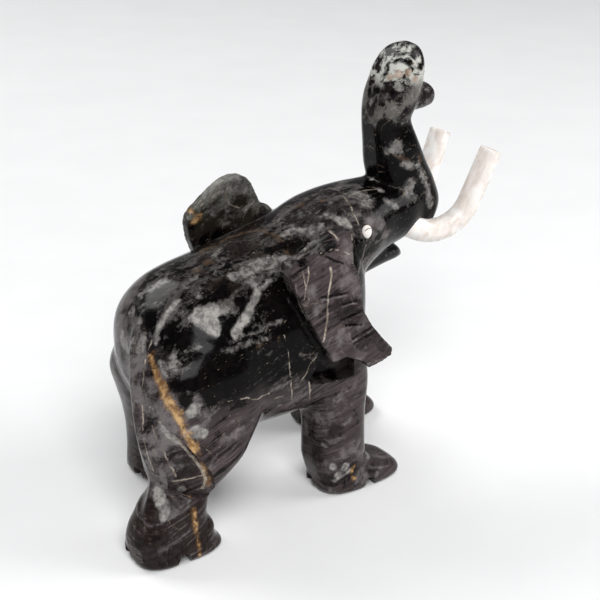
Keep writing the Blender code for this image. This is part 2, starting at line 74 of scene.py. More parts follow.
# surfaces
def smoothThrough(stations, count):
    # a cubic between neighbouring stations whose slope at each is half the step from the one before to the one after
    given = np.asarray(stations, float)
    padded = np.vstack([2 * given[0] - given[1], given, 2 * given[-1] - given[-2]])
    along = np.linspace(0, len(given) - 1, count)
    start = np.minimum(along.astype(int), len(given) - 2)
    s = (along - start)[:, None]
    a, b, c, d = (padded[start + k] for k in range(4))
    return 0.5 * (2 * b + (c - a) * s + (2 * a - 5 * b + 4 * c - d) * s ** 2 + (3 * b - a - 3 * c + d) * s ** 3)


def ovalSection(sides, power, below=None):
    # cosine and sine, each raised to 2 / power with its sign kept; the lower half may have its own power
    angle = np.arange(sides) / sides * 2 * np.pi
    c, s = np.cos(angle), np.sin(angle)
    power = np.where(s < 0, below or power, power)
    return np.sign(c) * np.abs(c) ** (2 / power), np.sign(s) * np.abs(s) ** (2 / power)


def ringsAlongX(form):
    # upright ovals set along x, each with its own half width, rise and drop
    at = smoothThrough(form["stations"], form["rings"])
    c, s = ovalSection(form["sides"], form["power"], form.get("powerBelow"))
    z = at[:, 1:2] + np.where(s > 0, at[:, 3:4], at[:, 4:5]) * s
    return np.stack([at[:, 0:1] + 0 * c, at[:, 2:3] * c, z], -1)


def ringsAlongZ(form):
    # level ovals set along z; the rear of each is flat past a share of its half length
    at = smoothThrough(form["stations"], form["rings"])
    c, s = ovalSection(form["sides"], form["power"])
    x = at[:, 1:2] + at[:, 3:4] * np.maximum(c, -form.get("flat", 1.0))
    return np.stack([x, at[:, 2:3] + at[:, 4:5] * s, at[:, 0:1] + 0 * c], -1)


def ringsAlongPath(form):
    # ovals square to a path: half thickness in the path's upright plane, half width across it
    at = smoothThrough(form["stations"], form["rings"])
    c, s = ovalSection(form["sides"], form["power"])
    along = np.gradient(at[:, :3], axis=0)
    along /= np.linalg.norm(along, axis=1, keepdims=True)
    across = np.cross([0.0, 1.0, 0.0], along)
    across /= np.linalg.norm(across, axis=1, keepdims=True)
    sideways = np.cross(along, across)
    depth = (at[:, 3, None] * c)[..., None] * across[:, None]
    width = (at[:, 4, None] * s)[..., None] * sideways[:, None]
    return at[:, None, :3] + depth + width


def footRings(form):
    # level ovals from the ankle down to the sole, worked out from heel, toe and half width
    x, y, heel, toe, half, high, _ = form["foot"]
    middle, reach = (heel + toe) / 2, (toe - heel) / 2
    stations = (
        (high, x + 2, y, 9, 9), (high - 5, x + 2, y, 12, half - 2),
            (high * 0.42, middle - 1.2, y, reach - 2.8, half - 0.5),
        (2.4, middle, y, reach - 0.6, half - 0.4), (0, middle, y, reach - 2.4, half - 2),
    )
    return ringsAlongZ({"stations": stations, "rings": 40, "sides": 96, "power": 3.2})


def earPlane(z):
    return ear["topSpread"] + (ear["top"] - z) * ear["flare"]


def earRings(form):
    # a flat-faced wedge: the outline shrunk to nothing on the outer plane, carried in to the inner plane and shrunk
    # again, then pressed back to each facet's plane
    corners = np.array(form["outline"] + form["outline"][:1], float)
    reach = np.concatenate([[0], np.cumsum(np.linalg.norm(np.diff(corners, axis=0), axis=1))])
    walk = np.linspace(0, reach[-1], form["sides"], endpoint=False)
    x, z = np.interp(walk, reach, corners[:, 0]), np.interp(walk, reach, corners[:, 1])
    cx, cz = form["middle"]
    spans = np.concatenate([np.linspace(0.02, 1, 26), np.ones(18), np.linspace(1, 0.02, 26)])[:, None]
    deep = np.concatenate([np.zeros(26), np.linspace(0, 1, 20)[1:-1], np.ones(26)])[:, None]
    x, z = cx + (x - cx) * spans, cz + (z - cz) * spans
    ahead, up = form["wedge"]
    outer = earPlane(z)
    thick = form["thickness"] + ahead * x + up * (z - 100)
    rings = np.stack([x, outer - thick * deep, z], -1)
    for facet in form["facets"]:
        corners = np.array([(px, earPlane(pz) - below, pz) for px, below, pz in facet])
        away = np.cross(corners[1] - corners[0], corners[2] - corners[0])
        away /= np.linalg.norm(away) * np.sign(away[1])
        proud = np.maximum((rings - corners[0]) @ away, 0)
        rings = rings - proud[..., None] * away
    return rings * [1, form["side"], 1]


def closedSkin(rings):
    # each ring joined to the next with quads, both ends closed with a fan
    rows, sides, _ = rings.shape
    index = np.arange(rows * sides).reshape(rows, sides)
    turned = np.roll(index, -1, axis=1)
    quads = np.stack([index[:-1], turned[:-1], turned[1:], index[1:]], -1).reshape(-1, 4)
    low, high = rows * sides, rows * sides + 1
    bottom = np.stack([turned[0], index[0], np.full(sides, low)], -1)
    top = np.stack([index[-1], turned[-1], np.full(sides, high)], -1)
    points = np.vstack([rings.reshape(-1, 3), rings[0].mean(0), rings[-1].mean(0)])
    return points, [quads, np.vstack([bottom, top])]


def meshObject(name, skins):
    # all the skins in one mesh, in the row's metres
    mesh = bpy.data.meshes.new(name)
    points, faces, base = [], [], 0
    for skin, groups in skins:
        points.append(skin)
        faces += [face for group in groups for face in (group + base).tolist()]
        base += len(skin)
    mesh.from_pydata(toRow(np.vstack(points)).tolist(), [], faces)
    obj = bpy.data.objects.new(name, mesh)
    bpy.context.scene.collection.objects.link(obj)
    return obj


def outward(obj):
    bm = bmesh.new()
    bm.from_mesh(obj.data)
    bmesh.ops.recalc_face_normals(bm, faces=bm.faces)
    bm.to_mesh(obj.data)
    bm.free()
    return obj


def settle(obj):
    # the object's modifiers made part of its mesh
    depsgraph = bpy.context.evaluated_depsgraph_get()
    mesh = bpy.data.meshes.new_from_object(obj.evaluated_get(depsgraph))
    obj.modifiers.clear()
    old, obj.data = obj.data, mesh
    bpy.data.meshes.remove(old)
    return obj


# the carved body
bodyForms = {
    "torso": {"rings": 90, "sides": 120, "power": 2.2, "powerBelow": 2.6, "stations": (
        (-54.5, 74, 5, 5, 5), (-52.5, 74, 14, 12, 14), (-46.5, 73.5, 25, 21, 24), (-37, 73, 32.5, 27.5, 31),
        (-26, 72.5, 36, 31.5, 35.5), (-10, 73, 37, 34, 38), (8, 74.5, 37, 37, 40), (24, 76, 36, 39.8, 40.5),
        (36, 78, 32, 42, 36.5), (44, 80, 26, 40, 30), (49, 84, 17, 33, 22), (52, 88, 8, 20, 10))},
    "head": {"rings": 60, "sides": 100, "power": 2.3, "stations": (
        (16, 92, 18, 18, 16), (26, 97, 24, 19.5, 20), (36, 102, 25.5, 18, 22), (46, 106.5, 24, 15.5, 23.5),
        (56, 109.5, 21.5, 13.5, 20), (66, 111, 18.5, 12.3, 17.5), (76, 112, 16.8, 11, 15.8), (83, 112.5, 14, 8, 12))},
}
columnForms = {
    "trunk": {"rings": 110, "sides": 96, "power": 2.4, "flat": 0.955, "stations": (
        (98.5, 82.5, 0, 6, 7), (101.5, 84, 0, 11.5, 11), (110.6, 84.1, 0, 14.6, 13.2), (120.3, 81.6, 0, 14.2, 13),
        (130.1, 77.9, 0, 13, 12.3), (139.5, 75.3, 0, 11.3, 11.3), (146.5, 73.3, 0, 10.2, 10.2),
        (150.1, 72.8, 0, 10, 9.8), (154.5, 73.9, 0, 10.7, 10.8), (160, 75.5, 0, 11.2, 11.4), (166, 77.3, 0, 10.8, 11),
        (171, 78.6, 0, 10.3, 10.2), (175.5, 79.8, 0, 8.8, 8.6), (179, 80.6, 0, 6.2, 6), (181, 81, 0, 2.2, 2.2))},
    "hindLegRight": {"rings": 110, "sides": 110, "power": 2.5, "stations": (
        (92, -24, -11, 12, 12), (84, -26, -14.5, 22, 18), (76, -29.5, -17.4, 26.5, 20), (66, -31, -19.5, 27.5, 20),
        (56.7, -32.4, -20.5, 26.4, 19.6), (51.3, -33.8, -21.5, 25.2, 19.2), (45.9, -36.6, -23, 23.9, 18.5),
        (42.4, -38.5, -24.5, 22.5, 17.8), (38, -40.4, -26, 20.4, 17), (33.4, -43, -27, 17.4, 15.2),
        (29.2, -45.3, -28, 13.9, 13), (25.3, -49.6, -28.9, 11.9, 11.8),
        (21.3, -52.8, -29.8, 13.2, 12.5), (17.2, -54.5, -30, 14, 12.8), (13.4, -55.6, -30, 15.2, 13.2),
        (8.1, -55, -30, 17.4, 13.2), (3.1, -53.8, -30, 16.6, 11.8))},
    "hindLegLeft": {"rings": 80, "sides": 96, "power": 2.4, "stations": (
        (78, -28, 12, 14, 14), (68, -29, 15, 19, 18), (58, -30.6, 18, 20, 18), (47, -30.2, 21, 17.3, 15.5),
        (35.9, -29.6, 24, 14.2, 13.5), (25, -29, 26, 12.6, 12.6), (13.8, -28.2, 28, 12.2, 12.4),
        (5.4, -26, 29, 14.5, 12.8), (2, -25.5, 29, 14.5, 12.4))},
    "foreLegRight": {"rings": 80, "sides": 96, "power": 2.4, "flat": 0.96, "stations": (
        (74, 26, -12, 10, 12), (62, 29.5, -15.5, 16.5, 16), (52, 31.3, -18, 15.2, 16),
            (44.3, 31.5, -20, 13.8, 15), (38.2, 30.4, -22, 13, 13.8),
        (29.4, 29.6, -23.5, 12.7, 13.1), (20.2, 29, -24.5, 12.8, 13), (14.4, 29, -25, 13, 13),
            (5, 30.5, -25, 11.8, 12),
        (2, 30.5, -25, 10.6, 10.8))},
    "foreLegLeft": {"rings": 80, "sides": 96, "power": 2.4, "stations": (
        (78, 32, 12, 11, 12), (68, 36.5, 14, 16, 15), (59, 42, 16.5, 17.5, 16.5), (50, 48, 19, 17, 16),
        (40, 53, 21, 14.5, 14.5), (30, 55.3, 23, 13, 13), (14, 56, 24.5, 12.8, 13), (6, 57, 24.5, 13, 13),
        (2, 57, 24.5, 12.4, 12.4))},
}
pathForms = {
    "trunkLip": {"rings": 50, "sides": 80, "power": 2.4, "stations": (
        (74, 0, 158.5, 7.4, 8.6), (84, 0, 158.3, 6.8, 8.4), (90, 0, 157.4, 5.7, 7.6),
            (93.2, 0, 156.4, 4.4, 6.2), (95.2, 0, 155.8, 2.6, 4), (95.9, 0, 155.6, 1, 1.8))},
    "lowerLip": {"rings": 40, "sides": 64, "power": 2.2, "stations": (
        (54, 0, 91.5, 8.5, 12), (62, 0, 91.5, 7.4, 10.4), (70, 0, 90.6, 5.6, 8.2), (77, 0, 88.8, 3.5, 5.6),
        (81.3, 0, 86.6, 1.2, 2.2))},
    "tail": {"rings": 130, "sides": 40, "power": 2.0, "stations": tuple(
        (x, y, z, 2.5 * share, 2.8 * share) for x, y, z, share in (
            (-43, -1.5, 95, 0.6), (-49.5, -4, 89, 0.8), (-54, -8, 80.5, 1.0), (-57.6, -13.5, 71, 1.0),
            (-60, -19, 61.5, 1.0), (-60.6, -22, 51.5, 1.0), (-59.6, -24.5, 42, 1.0), (-58.5, -27, 34, 0.9),
            (-60.5, -30, 27, 1.2), (-63.5, -31.5, 20, 1.4), (-65.5, -32, 15, 0.5)))},
}
feet = {
    "foreRight": (30, -25.5, 18, 60, 13.6, 15, 39.2), "foreLeft": (56, 24.5, 43.5, 85, 13.3, 16, 64.5),
    "hindRight": (-52, -30.2, -72.6, -34, 13.8, 16, -55.6), "hindLeft": (-27, 29, -40.5, -4, 13.3, 16, -24),
}
tipFacets = (
    ((23.7, 0, 74.9), (40.5, 0, 69.5), (30, 1.3, 64)), ((23.7, 0, 74.9), (33.8, 0, 79.4), (41.5, 0.9, 69.6)),
)
ear = {
    "middle": (18, 94), "sides": 320, "topSpread": 35.6, "top": 120.4, "flare": 0.19, "wedge": (0.03, -0.02),
    "root": (
        (66, 26, 33, 5, 6), (74, 25, 34, 8, 8), (84, 24, 33, 8.5, 8), (94, 24, 31, 8.5, 8.5),
            (103, 25, 28.5, 7.5, 8.5),
        (109, 26.5, 27.5, 5.5, 7), (112, 27.5, 27.5, 2.5, 3.5)),
}
ears = {
    "right": {"side": -1.0, "thickness": 8.4, "outline": [
        (-1.5, 107.7), (-0.7, 110.3), (0.7, 111.9), (4.8, 112.8), (9.1, 113.8), (12.1, 115.2), (15.7, 117),
            (20, 118.8),
        (24, 119.4), (28.9, 119.4), (29, 114.4), (29, 106.5), (31.3, 99.9), (31, 91.8), (31.4, 86.9), (34.6, 80.4),
        (39.2, 74.2), (44.6, 67.7), (43.8, 65.2), (38.8, 63.6), (32.6, 62.6), (25.6, 63), (19, 64.4), (16.2, 67),
        (13.2, 73.6), (9.2, 80.3), (5.7, 86.9), (2.9, 94.4), (1.2, 100), (-0.8, 105.6)],
        "facets": tipFacets + (
             ((4.8, 0, 112), (20.7, 0, 117.3), (12.5, 1.5, 115.8)),)},
    "left": {"side": 1.0, "thickness": 5.5, "outline": [
        (-0.6, 92), (-4.2, 100.3), (-6, 108), (-5.5, 111.7), (-3.7, 114.2), (1.3, 118.8), (7.3, 123.7), (11.1, 125.7),
        (14.5, 126.6), (18.5, 126.3), (21.6, 124.9), (24.2, 121.6), (28.2, 114), (31.5, 107), (31.5, 98), (31, 88),
        (33.4, 82), (37.5, 76), (42, 70), (41.3, 68), (37, 66.5), (31.5, 65.5), (24, 66), (18, 68.5), (13.5, 74),
        (8.5, 82), (4, 87)],
        "facets": tipFacets},
}
carving = {
    "voxel": 0.62, "fillSteps": 110, "fill": 0.55, "slide": 0.1, "normalsEvery": 6, "polishSteps": 8, "polishIn": 0.6,
    "polishBack": 0.62, "mostTriangles": 190000, "sharpAngle": 32.0,
}


def quadNormals(points, quads):
    # each vertex's normal is the sum of its faces' cross products of diagonals
    cross = np.cross(points[quads[:, 2]] - points[quads[:, 0]], points[quads[:, 3]] - points[quads[:, 1]])
    total = np.stack([
        sum(np.bincount(quads[:, k], cross[:, axis], len(points)) for k in range(4)) for axis in range(3)], -1)
    return total / np.maximum(np.linalg.norm(total, axis=1, keepdims=True), 1e-12)


def neighbourMean(points, edges, degree):
    a, b = edges[:, 0], edges[:, 1]
    count = len(points)
    total = [np.bincount(a, points[b, axis], count) + np.bincount(b, points[a, axis], count) for axis in range(3)]
    return np.stack(total, -1) / degree[:, None]


def blendCreases(mesh, share, steps, polish):
    # hollow creases fill outwards along the normal, by how far each point lies behind the mean of its neighbours;
    # then every point moves towards that mean and most of the way back, which takes the grain off without shrinking
    count = len(mesh.vertices)
    points = np.empty(count * 3, np.float32)
    mesh.vertices.foreach_get("co", points)
    points = points.reshape(-1, 3).astype(float)
    edges = np.empty(len(mesh.edges) * 2, np.int32)
    mesh.edges.foreach_get("vertices", edges)
    edges = edges.reshape(-1, 2)
    quads = np.empty(len(mesh.loops), np.int32)
    mesh.loops.foreach_get("vertex_index", quads)
    quads = quads.reshape(-1, 4)
    degree = np.maximum(np.bincount(edges.ravel(), minlength=count), 1)
    weight = share(points / mm - shift)[:, None]
    for step in range(steps):
        if step % carving["normalsEvery"] == 0:
            normals = quadNormals(points, quads)
        pull = neighbourMean(points, edges, degree) - points
        lift = (pull * normals).sum(1, keepdims=True)
        points += weight * (
            carving["fill"] * np.maximum(lift, 0) * normals + carving["slide"] * (pull - lift * normals))
    for _ in range(polish):
        points += carving["polishIn"] * (neighbourMean(points, edges, degree) - points)
        points -= carving["polishBack"] * (neighbourMean(points, edges, degree) - points)
    mesh.vertices.foreach_set("co", points.astype(np.float32).ravel())
    mesh.update()


def markSharp(mesh, degrees):
    # an edge is sharp where the normals of its two faces differ by more than the angle
    bm = bmesh.new()
    bm.from_mesh(mesh)
    limit = math.radians(degrees)
    sharp = np.array([edge.calc_face_angle(0.0) > limit for edge in bm.edges])
    bm.free()
    layer = mesh.attributes.new("sharp_edge", "BOOLEAN", "EDGE")
    layer.data.foreach_set("value", sharp)


def creaseShare(p):
    # creases stay sharp at the ears, at the trunk's foot and at the lips, and blend everywhere else
    x, y, z = p.T
    nearEar = (np.abs(y) > 24) & (z > 62) & (x > -10) & (x < 46)
    trunkFoot = (x > 60) & (z > 104)
    lips = (x > 52) & (z < 100) & (z > 84)
    return np.where(nearEar, 0.0, np.where(trunkFoot, 0.12, np.where(lips, 0.3, 1.0)))


print("carved body: forms")
skins = [closedSkin(ringsAlongX(form)) for form in bodyForms.values()]
skins += [closedSkin(ringsAlongZ(form)) for form in columnForms.values()]
skins += [closedSkin(ringsAlongPath(form)) for form in pathForms.values()]
skins += [closedSkin(footRings({"foot": values})) for values in feet.values()]
for earForm in ears.values():
    root = [(z, x, earForm["side"] * y, length, width) for z, x, y, length, width in ear["root"]]
    skins.append(closedSkin(ringsAlongZ({"stations": root, "rings": 50, "sides": 60, "power": 2.2})))
    skins.append(closedSkin(earRings({**ear, **earForm})))
carvedBody = meshObject("carvedBody", skins)
union = carvedBody.modifiers.new("union", "REMESH")
union.mode = "VOXEL"
union.voxel_size = carving["voxel"] * mm
settle(carvedBody)
print("carved body: one skin of", len(carvedBody.data.polygons), "faces")
blendCreases(carvedBody.data, creaseShare, carving["fillSteps"], carving["polishSteps"])
print("carved body: creases blended")


# cuts
cuts = {
    "notchWidth": 7.0, "notchHeight": 5.2, "notchDepth": 7.5, "notchTopShare": 0.28, "heelDepth": 4.5,
        "heelOffset": 4.0,
    "reach": -60.0, "gougeWidth": 1.8, "gougeDepth": 1.1, "standOff": 0.3,
    "gouges": (
        (17.8, 96.8, 15.0, -6.0), (24.4, 92.0, 9.0, -4.0), (25.0, 86.8, 12.0, 3.0), (25.0, 83.0, 11.0, -14.0),
        (29.2, 78.4, 12.5, 16.0), (29.8, 76.4, 12.5, 14.0)),
    "topScoops": (
        ((12.5, -31.5, 116.2), (22.0, 4.4, 5.0), 20.0), ((17.2, -36.0, 116.4), (10.0, 6.0, 8.0), 14.0)),
    "thighHollow": (
        [(-59.5, 62), (-50.6, 50.7), (-42.1, 38), (-39.2, 28.8), (-40.3, 25), (-49.4, 26.3), (-58.1, 32.6)],
        -57.0, -0.45),
    "flankHollow": (
        [(8.6, 59.7), (12.1, 66), (15, 69.5), (21, 70.5), (30, 66), (34, 60), (33, 54), (24, 53.8), (18, 55),
            (10.1, 57)], -28.0, 0.0),
}


def chiselCut(place, size, turn):
    # an octahedron drawn out to the cut's length, width and twice its depth
    axes = np.vstack([np.eye(3), -np.eye(3)]) * np.asarray(size) / 2
    faces = np.array([(0, 1, 2), (1, 3, 2), (3, 4, 2), (4, 0, 2), (1, 0, 5), (3, 1, 5), (4, 3, 5), (0, 4, 5)])
    return axes @ np.array(turn).T + place, [faces]


def slabCut(outline, floor, slope):
    # the outline carried from far outside in to a floor that slopes along x
    x, z = np.array(outline).T
    near = np.stack([x, np.full(len(x), cuts["reach"]), z], -1)
    far = np.stack([x, floor + slope * x, z], -1)
    count = len(x)
    index = np.arange(count)
    turned = np.roll(index, -1)
    sides = np.stack([index, turned, turned + count, index + count], -1)
    return np.vstack([near, far]), [sides, index[None, ::-1], index[None] + count]


def notchCut(x, y, depth, turn):
    # a prism up from the ground, narrower at its top, reaching in along the turned y axis
    low, top = cuts["notchWidth"] / 2, cuts["notchWidth"] * cuts["notchTopShare"]
    bottom, high = -cuts["standOff"], cuts["notchHeight"]
    outline = np.array([(-low, bottom), (low, bottom), (top, high), (-top, high)])
    near, far = (
        np.stack([outline[:, 0], np.full(4, reach), outline[:, 1]], -1) for reach in (-cuts["notchDepth"], depth))
    index = np.arange(4)
    sides = np.stack([index, np.roll(index, -1), np.roll(index, -1) + 4, index + 4], -1)
    spin = np.array(Matrix.Rotation(turn, 3, "Z"))
    return np.vstack([near, far]) @ spin.T + [x, y, 0], [sides, index[None, ::-1], index[None] + 4]


cutters = []
for x, y, heel, toe, half, high, notchAt in feet.values():
    outSide = math.copysign(1.0, y)
    cutters.append(notchCut(notchAt, y + outSide * half, cuts["notchDepth"], math.pi / 2 * (1 + outSide)))
    cutters.append(notchCut(heel, y - outSide * cuts["heelOffset"], cuts["heelDepth"], -math.pi / 2))
for earForm in ears.values():
    sign = earForm["side"]
    for x, z, length, slope in cuts["gouges"]:
        out = earPlane(z) + cuts["standOff"]
        lean = Matrix.Rotation(sign * math.atan(ear["flare"]), 3, "X") @ Matrix.Rotation(-math.radians(slope), 3, "Y")
        cutters.append(chiselCut((x, sign * out, z), (length, 2 * cuts["gougeDepth"], cuts["gougeWidth"]), lean))
for place, size, slope in cuts["topScoops"]:
    cutters.append(chiselCut(place, size, Matrix.Rotation(-math.radians(slope), 3, "Y")))
cutters.append(slabCut(*cuts["thighHollow"]))
cutters.append(slabCut(*cuts["flankHollow"]))

# tusks and eyes
tusks = {
    "root": (74.6, 9.5, 105.4), "rootLength": 9.4, "curlRadius": 18.5, "curl": 93.0, "endLength": 24.3,
    "spread": 10.0, "drop": 27.0, "radius": 5.2, "tipRadius": 4.8, "softTip": 0.9, "gap": 0.3,
}
eyes = {"place": (46.4, 22.6, 111.4), "size": (4.8, 3.4, 6.0), "gap": 0.3}


def tuskPath(sign, count):
    # straight out of the socket, round an arc, and straight to the tip, all in one plane turned down and outwards
    root, bend, end = tusks["rootLength"], tusks["curlRadius"] * math.radians(tusks["curl"]), tusks["endLength"]
    s = np.linspace(0, root + bend + end, count)
    angle = np.clip((s - root) / tusks["curlRadius"], 0, math.radians(tusks["curl"]))
    past = np.maximum(s - root - bend, 0)
    u = np.minimum(s, root) + tusks["curlRadius"] * np.sin(angle) + past * math.cos(math.radians(tusks["curl"]))
    w = tusks["curlRadius"] * (1 - np.cos(angle)) + past * math.sin(math.radians(tusks["curl"]))
    turn = Matrix.Rotation(sign * math.radians(tusks["spread"]), 3,
        "Z") @ Matrix.Rotation(math.radians(tusks["drop"]), 3, "Y")
    x, y, z = tusks["root"]
    return np.stack([u, 0 * u, w], -1) @ np.array(turn).T + [x, sign * y, z], s / s[-1]


def tuskRings(sign, gap, count, sides):
    # round sections square to the path; six smaller ones round the tip's edge
    path, share = tuskPath(sign, count)
    radius = tusks["radius"] + (tusks["tipRadius"] - tusks["radius"]) * share ** 1.5 + gap
    along = np.gradient(path, axis=0)
    along /= np.linalg.norm(along, axis=1, keepdims=True)
    if gap:
        path[0] -= along[0] * gap
        path[-1] += along[-1] * gap
    else:
        edge, soft, tip = np.linspace(0, math.pi / 2, 6), tusks["softTip"], path[-1]
        path = np.vstack([path[:-1], tip + np.outer(soft * (np.sin(edge) - 1), along[-1])])
        radius = np.concatenate([radius[:-1], radius[-1] - soft * (1 - np.cos(edge))])
        along = np.vstack([along[:-1], np.repeat(along[-1:], 6, axis=0)])
    across = np.cross(np.array([0.0, 1.0, 0.0]), along)
    across /= np.linalg.norm(across, axis=1, keepdims=True)
    sideways = np.cross(along, across)
    angle = np.arange(sides) / sides * 2 * np.pi
    ring = np.cos(angle)[None, :, None] * across[:, None] + np.sin(angle)[None, :, None] * sideways[:, None]
    return path[:, None] + radius[:, None, None] * ring


def eyeRings(sign, gap, rings, sides):
    # an ellipsoid in level rings
    lift = np.linspace(-math.pi / 2, math.pi / 2, rings + 2)[1:-1, None]
    turn = np.arange(sides) / sides * 2 * np.pi
    half = np.array(eyes["size"]) / 2 + gap
    x, y, z = eyes["place"]
    ball = np.stack([np.cos(lift) * np.cos(turn), np.cos(lift) * np.sin(turn), np.sin(lift) + 0 * turn], -1)
    return ball * half + [x, sign * y, z]


for sign in (earForm["side"] for earForm in ears.values()):
    cutters.append(closedSkin(tuskRings(sign, tusks["gap"], 60, 32)))
    cutters.append(closedSkin(eyeRings(sign, eyes["gap"], 17, 36)))
print("carved body:", len(cutters), "cuts")
chisel = outward(meshObject("chisel", cutters))
cut = carvedBody.modifiers.new("cut", "BOOLEAN")
cut.operation = "DIFFERENCE"
cut.solver = "MANIFOLD"
cut.object = chisel
settle(carvedBody)
bpy.data.objects.remove(chisel)
triangles = sum(len(face.vertices) - 2 for face in carvedBody.data.polygons)
thin = carvedBody.modifiers.new("thin", "DECIMATE")
thin.ratio = min(1.0, carving["mostTriangles"] / triangles)
settle(carvedBody)
carvedBody.data.polygons.foreach_set("use_smooth", np.ones(len(carvedBody.data.polygons), bool))
markSharp(carvedBody.data, carving["sharpAngle"])
print("carved body:", triangles, "triangles thinned to", len(carvedBody.data.polygons))
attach(carvedBody, "root")
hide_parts("carved_elephant")

for side, sign in ((side, earForm["side"]) for side, earForm in ears.items()):
    tuskPiece = outward(meshObject("tusk" + side.capitalize(), [closedSkin(tuskRings(sign, 0.0, 120, 64))]))
    eyePiece = outward(meshObject("eye" + side.capitalize(), [closedSkin(eyeRings(sign, 0.0, 31, 64))]))
    for piece, node, slot in ((tuskPiece, "tusk_", "white_tusk_stone"), (eyePiece, "eye_", "white_eye_stone")):
        piece.data.polygons.foreach_set("use_smooth", np.ones(len(piece.data.polygons), bool))
        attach(piece, "root")
        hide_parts(node + side)
print("tusks and eyes made")


class Field:
    # a socket whose sums, products and limits add Math nodes
    def __init__(self, maker, socket):
        self.maker, self.socket = maker, socket

    def join(self, operation, other=0.0, swapped=False):
        pair = {0: other, 1: self} if swapped else {0: self, 1: other}
        return self.maker.node("ShaderNodeMath", {"operation": operation}, pair)

    def __add__(self, other):
        return self.join("ADD", other)

    def __sub__(self, other):
        return self.join("SUBTRACT", other)

    def __rsub__(self, other):
        return self.join("SUBTRACT", other, swapped=True)

    def __mul__(self, other):
        return self.join("MULTIPLY", other)

    __radd__, __rmul__ = __add__, __mul__

    def least(self, other):
        return self.join("MINIMUM", other)

    def most(self, other):
        return self.join("MAXIMUM", other)

    def melted(self, other, width):
        # the least of two values, with the corner between them rounded off
        return self.maker.node("ShaderNodeMath", {"operation": "SMOOTH_MIN"}, {0: self, 1: other, 2: width})


class Maker:
    # one material and the ways its nodes are made
    def __init__(self, name):
        self.material = bpy.data.materials.new(name)
        self.material.use_nodes = True
        self.tree = self.material.node_tree
        self.shader = self.tree.nodes["Principled BSDF"]

    def node(self, kind, settings=None, inputs=None, output=0):
        made = self.tree.nodes.new(kind)
        for key, value in (settings or {}).items():
            setattr(made, key, value)
        for key, value in (inputs or {}).items():
            if isinstance(value, Field):
                self.tree.links.new(value.socket, made.inputs[key])
            else:
                made.inputs[key].default_value = value
        return Field(self, made.outputs[output])

    def place(self):
        # the figure's millimetres, from Object coordinates
        here = self.node("ShaderNodeTexCoord", output="Object")
        return self.node("ShaderNodeMapping", None, {
            "Vector": here, "Location": tuple(-shift), "Scale": (1 / mm,) * 3})

    def vector(self, operation, a, b=(0.0, 0.0, 0.0), c=None):
        inputs = {0: a, 1: b} if c is None else {0: a, 1: b, 2: c}
        found = "Value" if operation in ("DISTANCE", "DOT_PRODUCT", "LENGTH") else 0
        return self.node("ShaderNodeVectorMath", {"operation": operation}, inputs, found)

    def noise(self, at, scale, detail=3.0, roughness=0.5, distortion=0.0, output=0):
        return self.node("ShaderNodeTexNoise", None, {
            "Vector": at, "Scale": scale, "Detail": detail, "Roughness": roughness, "Distortion": distortion}, output)

    def rise(self, value, low, high, bottom=0.0, top=1.0):
        # an even S from bottom to top as the value goes from low to high
        return self.node("ShaderNodeMapRange", {"interpolation_type": "SMOOTHSTEP"}, {
            "Value": value, "From Min": low, "From Max": high, "To Min": bottom, "To Max": top})

    def blend(self, share, first, second):
        first, second = ((*c, 1.0) if isinstance(c, tuple) else c for c in (first, second))
        return self.node("ShaderNodeMix", {"data_type": "RGBA"}, {0: share, 6: first, 7: second}, 2)

    def moved(self, at, scale, amount, detail=2.0):
        # the place pushed about by a coloured noise, by up to half the amount each way
        push = self.node("ShaderNodeTexNoise", None, {"Vector": at, "Scale": scale, "Detail": detail}, "Color")
        centred = self.vector("SUBTRACT", push, (0.5, 0.5, 0.5))
        return self.vector("MULTIPLY_ADD", centred, (amount,) * 3, at)

    def stretched(self, at, along, scale, across):
        # the place measured along one direction at one scale and across it at another
        a = Vector(along).normalized()
        b = a.orthogonal().normalized()
        c = a.cross(b)
        axes = ((a, scale), (b, across), (c, across))
        parts = [self.vector("DOT_PRODUCT", at, tuple(axis)) * size for axis, size in axes]
        return self.node("ShaderNodeCombineXYZ", None, dict(enumerate(parts)))

    def toSpot(self, at, spot):
        x, y, z, radius = spot
        return self.vector("DISTANCE", at, (x, y, z)) - radius

    def toLine(self, at, first, last, radius):
        # how far the place stands off the nearest point between two ends
        first, last = Vector(first), Vector(last)
        run = last - first
        off = self.vector("SUBTRACT", at, tuple(first))
        share = self.vector("DOT_PRODUCT", off, tuple(run / run.length_squared))
        held = self.node("ShaderNodeClamp", None, {0: share})
        nearest = self.node("ShaderNodeVectorMath", {"operation": "SCALE"}, {0: tuple(run), 3: held})
        return self.vector("DISTANCE", off, nearest) - radius

    def toMarks(self, at, marks):
        # the least of the distances to every mark, each taken in as it is made
        nearest = None
        for spot in marks["spots"]:
            reach = self.toSpot(at, spot)
            nearest = nearest.melted(reach, marble["melt"]) if nearest else reach
        for radius, points in marks["lines"]:
            for first, last in zip(points, points[1:]):
                reach = self.toLine(at, first, last, radius)
                nearest = nearest.least(reach) if nearest else reach
        return nearest


marble = {
    "black": (0.0015, 0.0012, 0.0012), "ash": (0.075, 0.07, 0.066), "smoke": (0.17, 0.16, 0.15),
        "duskDark": (0.012, 0.0085, 0.009),
    "duskPale": (0.09, 0.07, 0.071), "haze": (0.19, 0.17, 0.172), "oliveDark": (0.02, 0.016, 0.012),
    "olive": (0.24, 0.235, 0.21), "umber": (0.016, 0.0105, 0.0085), "tip": (0.5, 0.5, 0.46),
        "bulge": (0.12, 0.113, 0.102),
    "fleck": (0.34, 0.26, 0.19), "layers": (-0.3, 0.0, 1.0), "grain": (1.0, 0.1, 0.3),
    "polish": 0.14, "ripple": 0.1, "gloss": 0.08, "melt": 1.6,
}
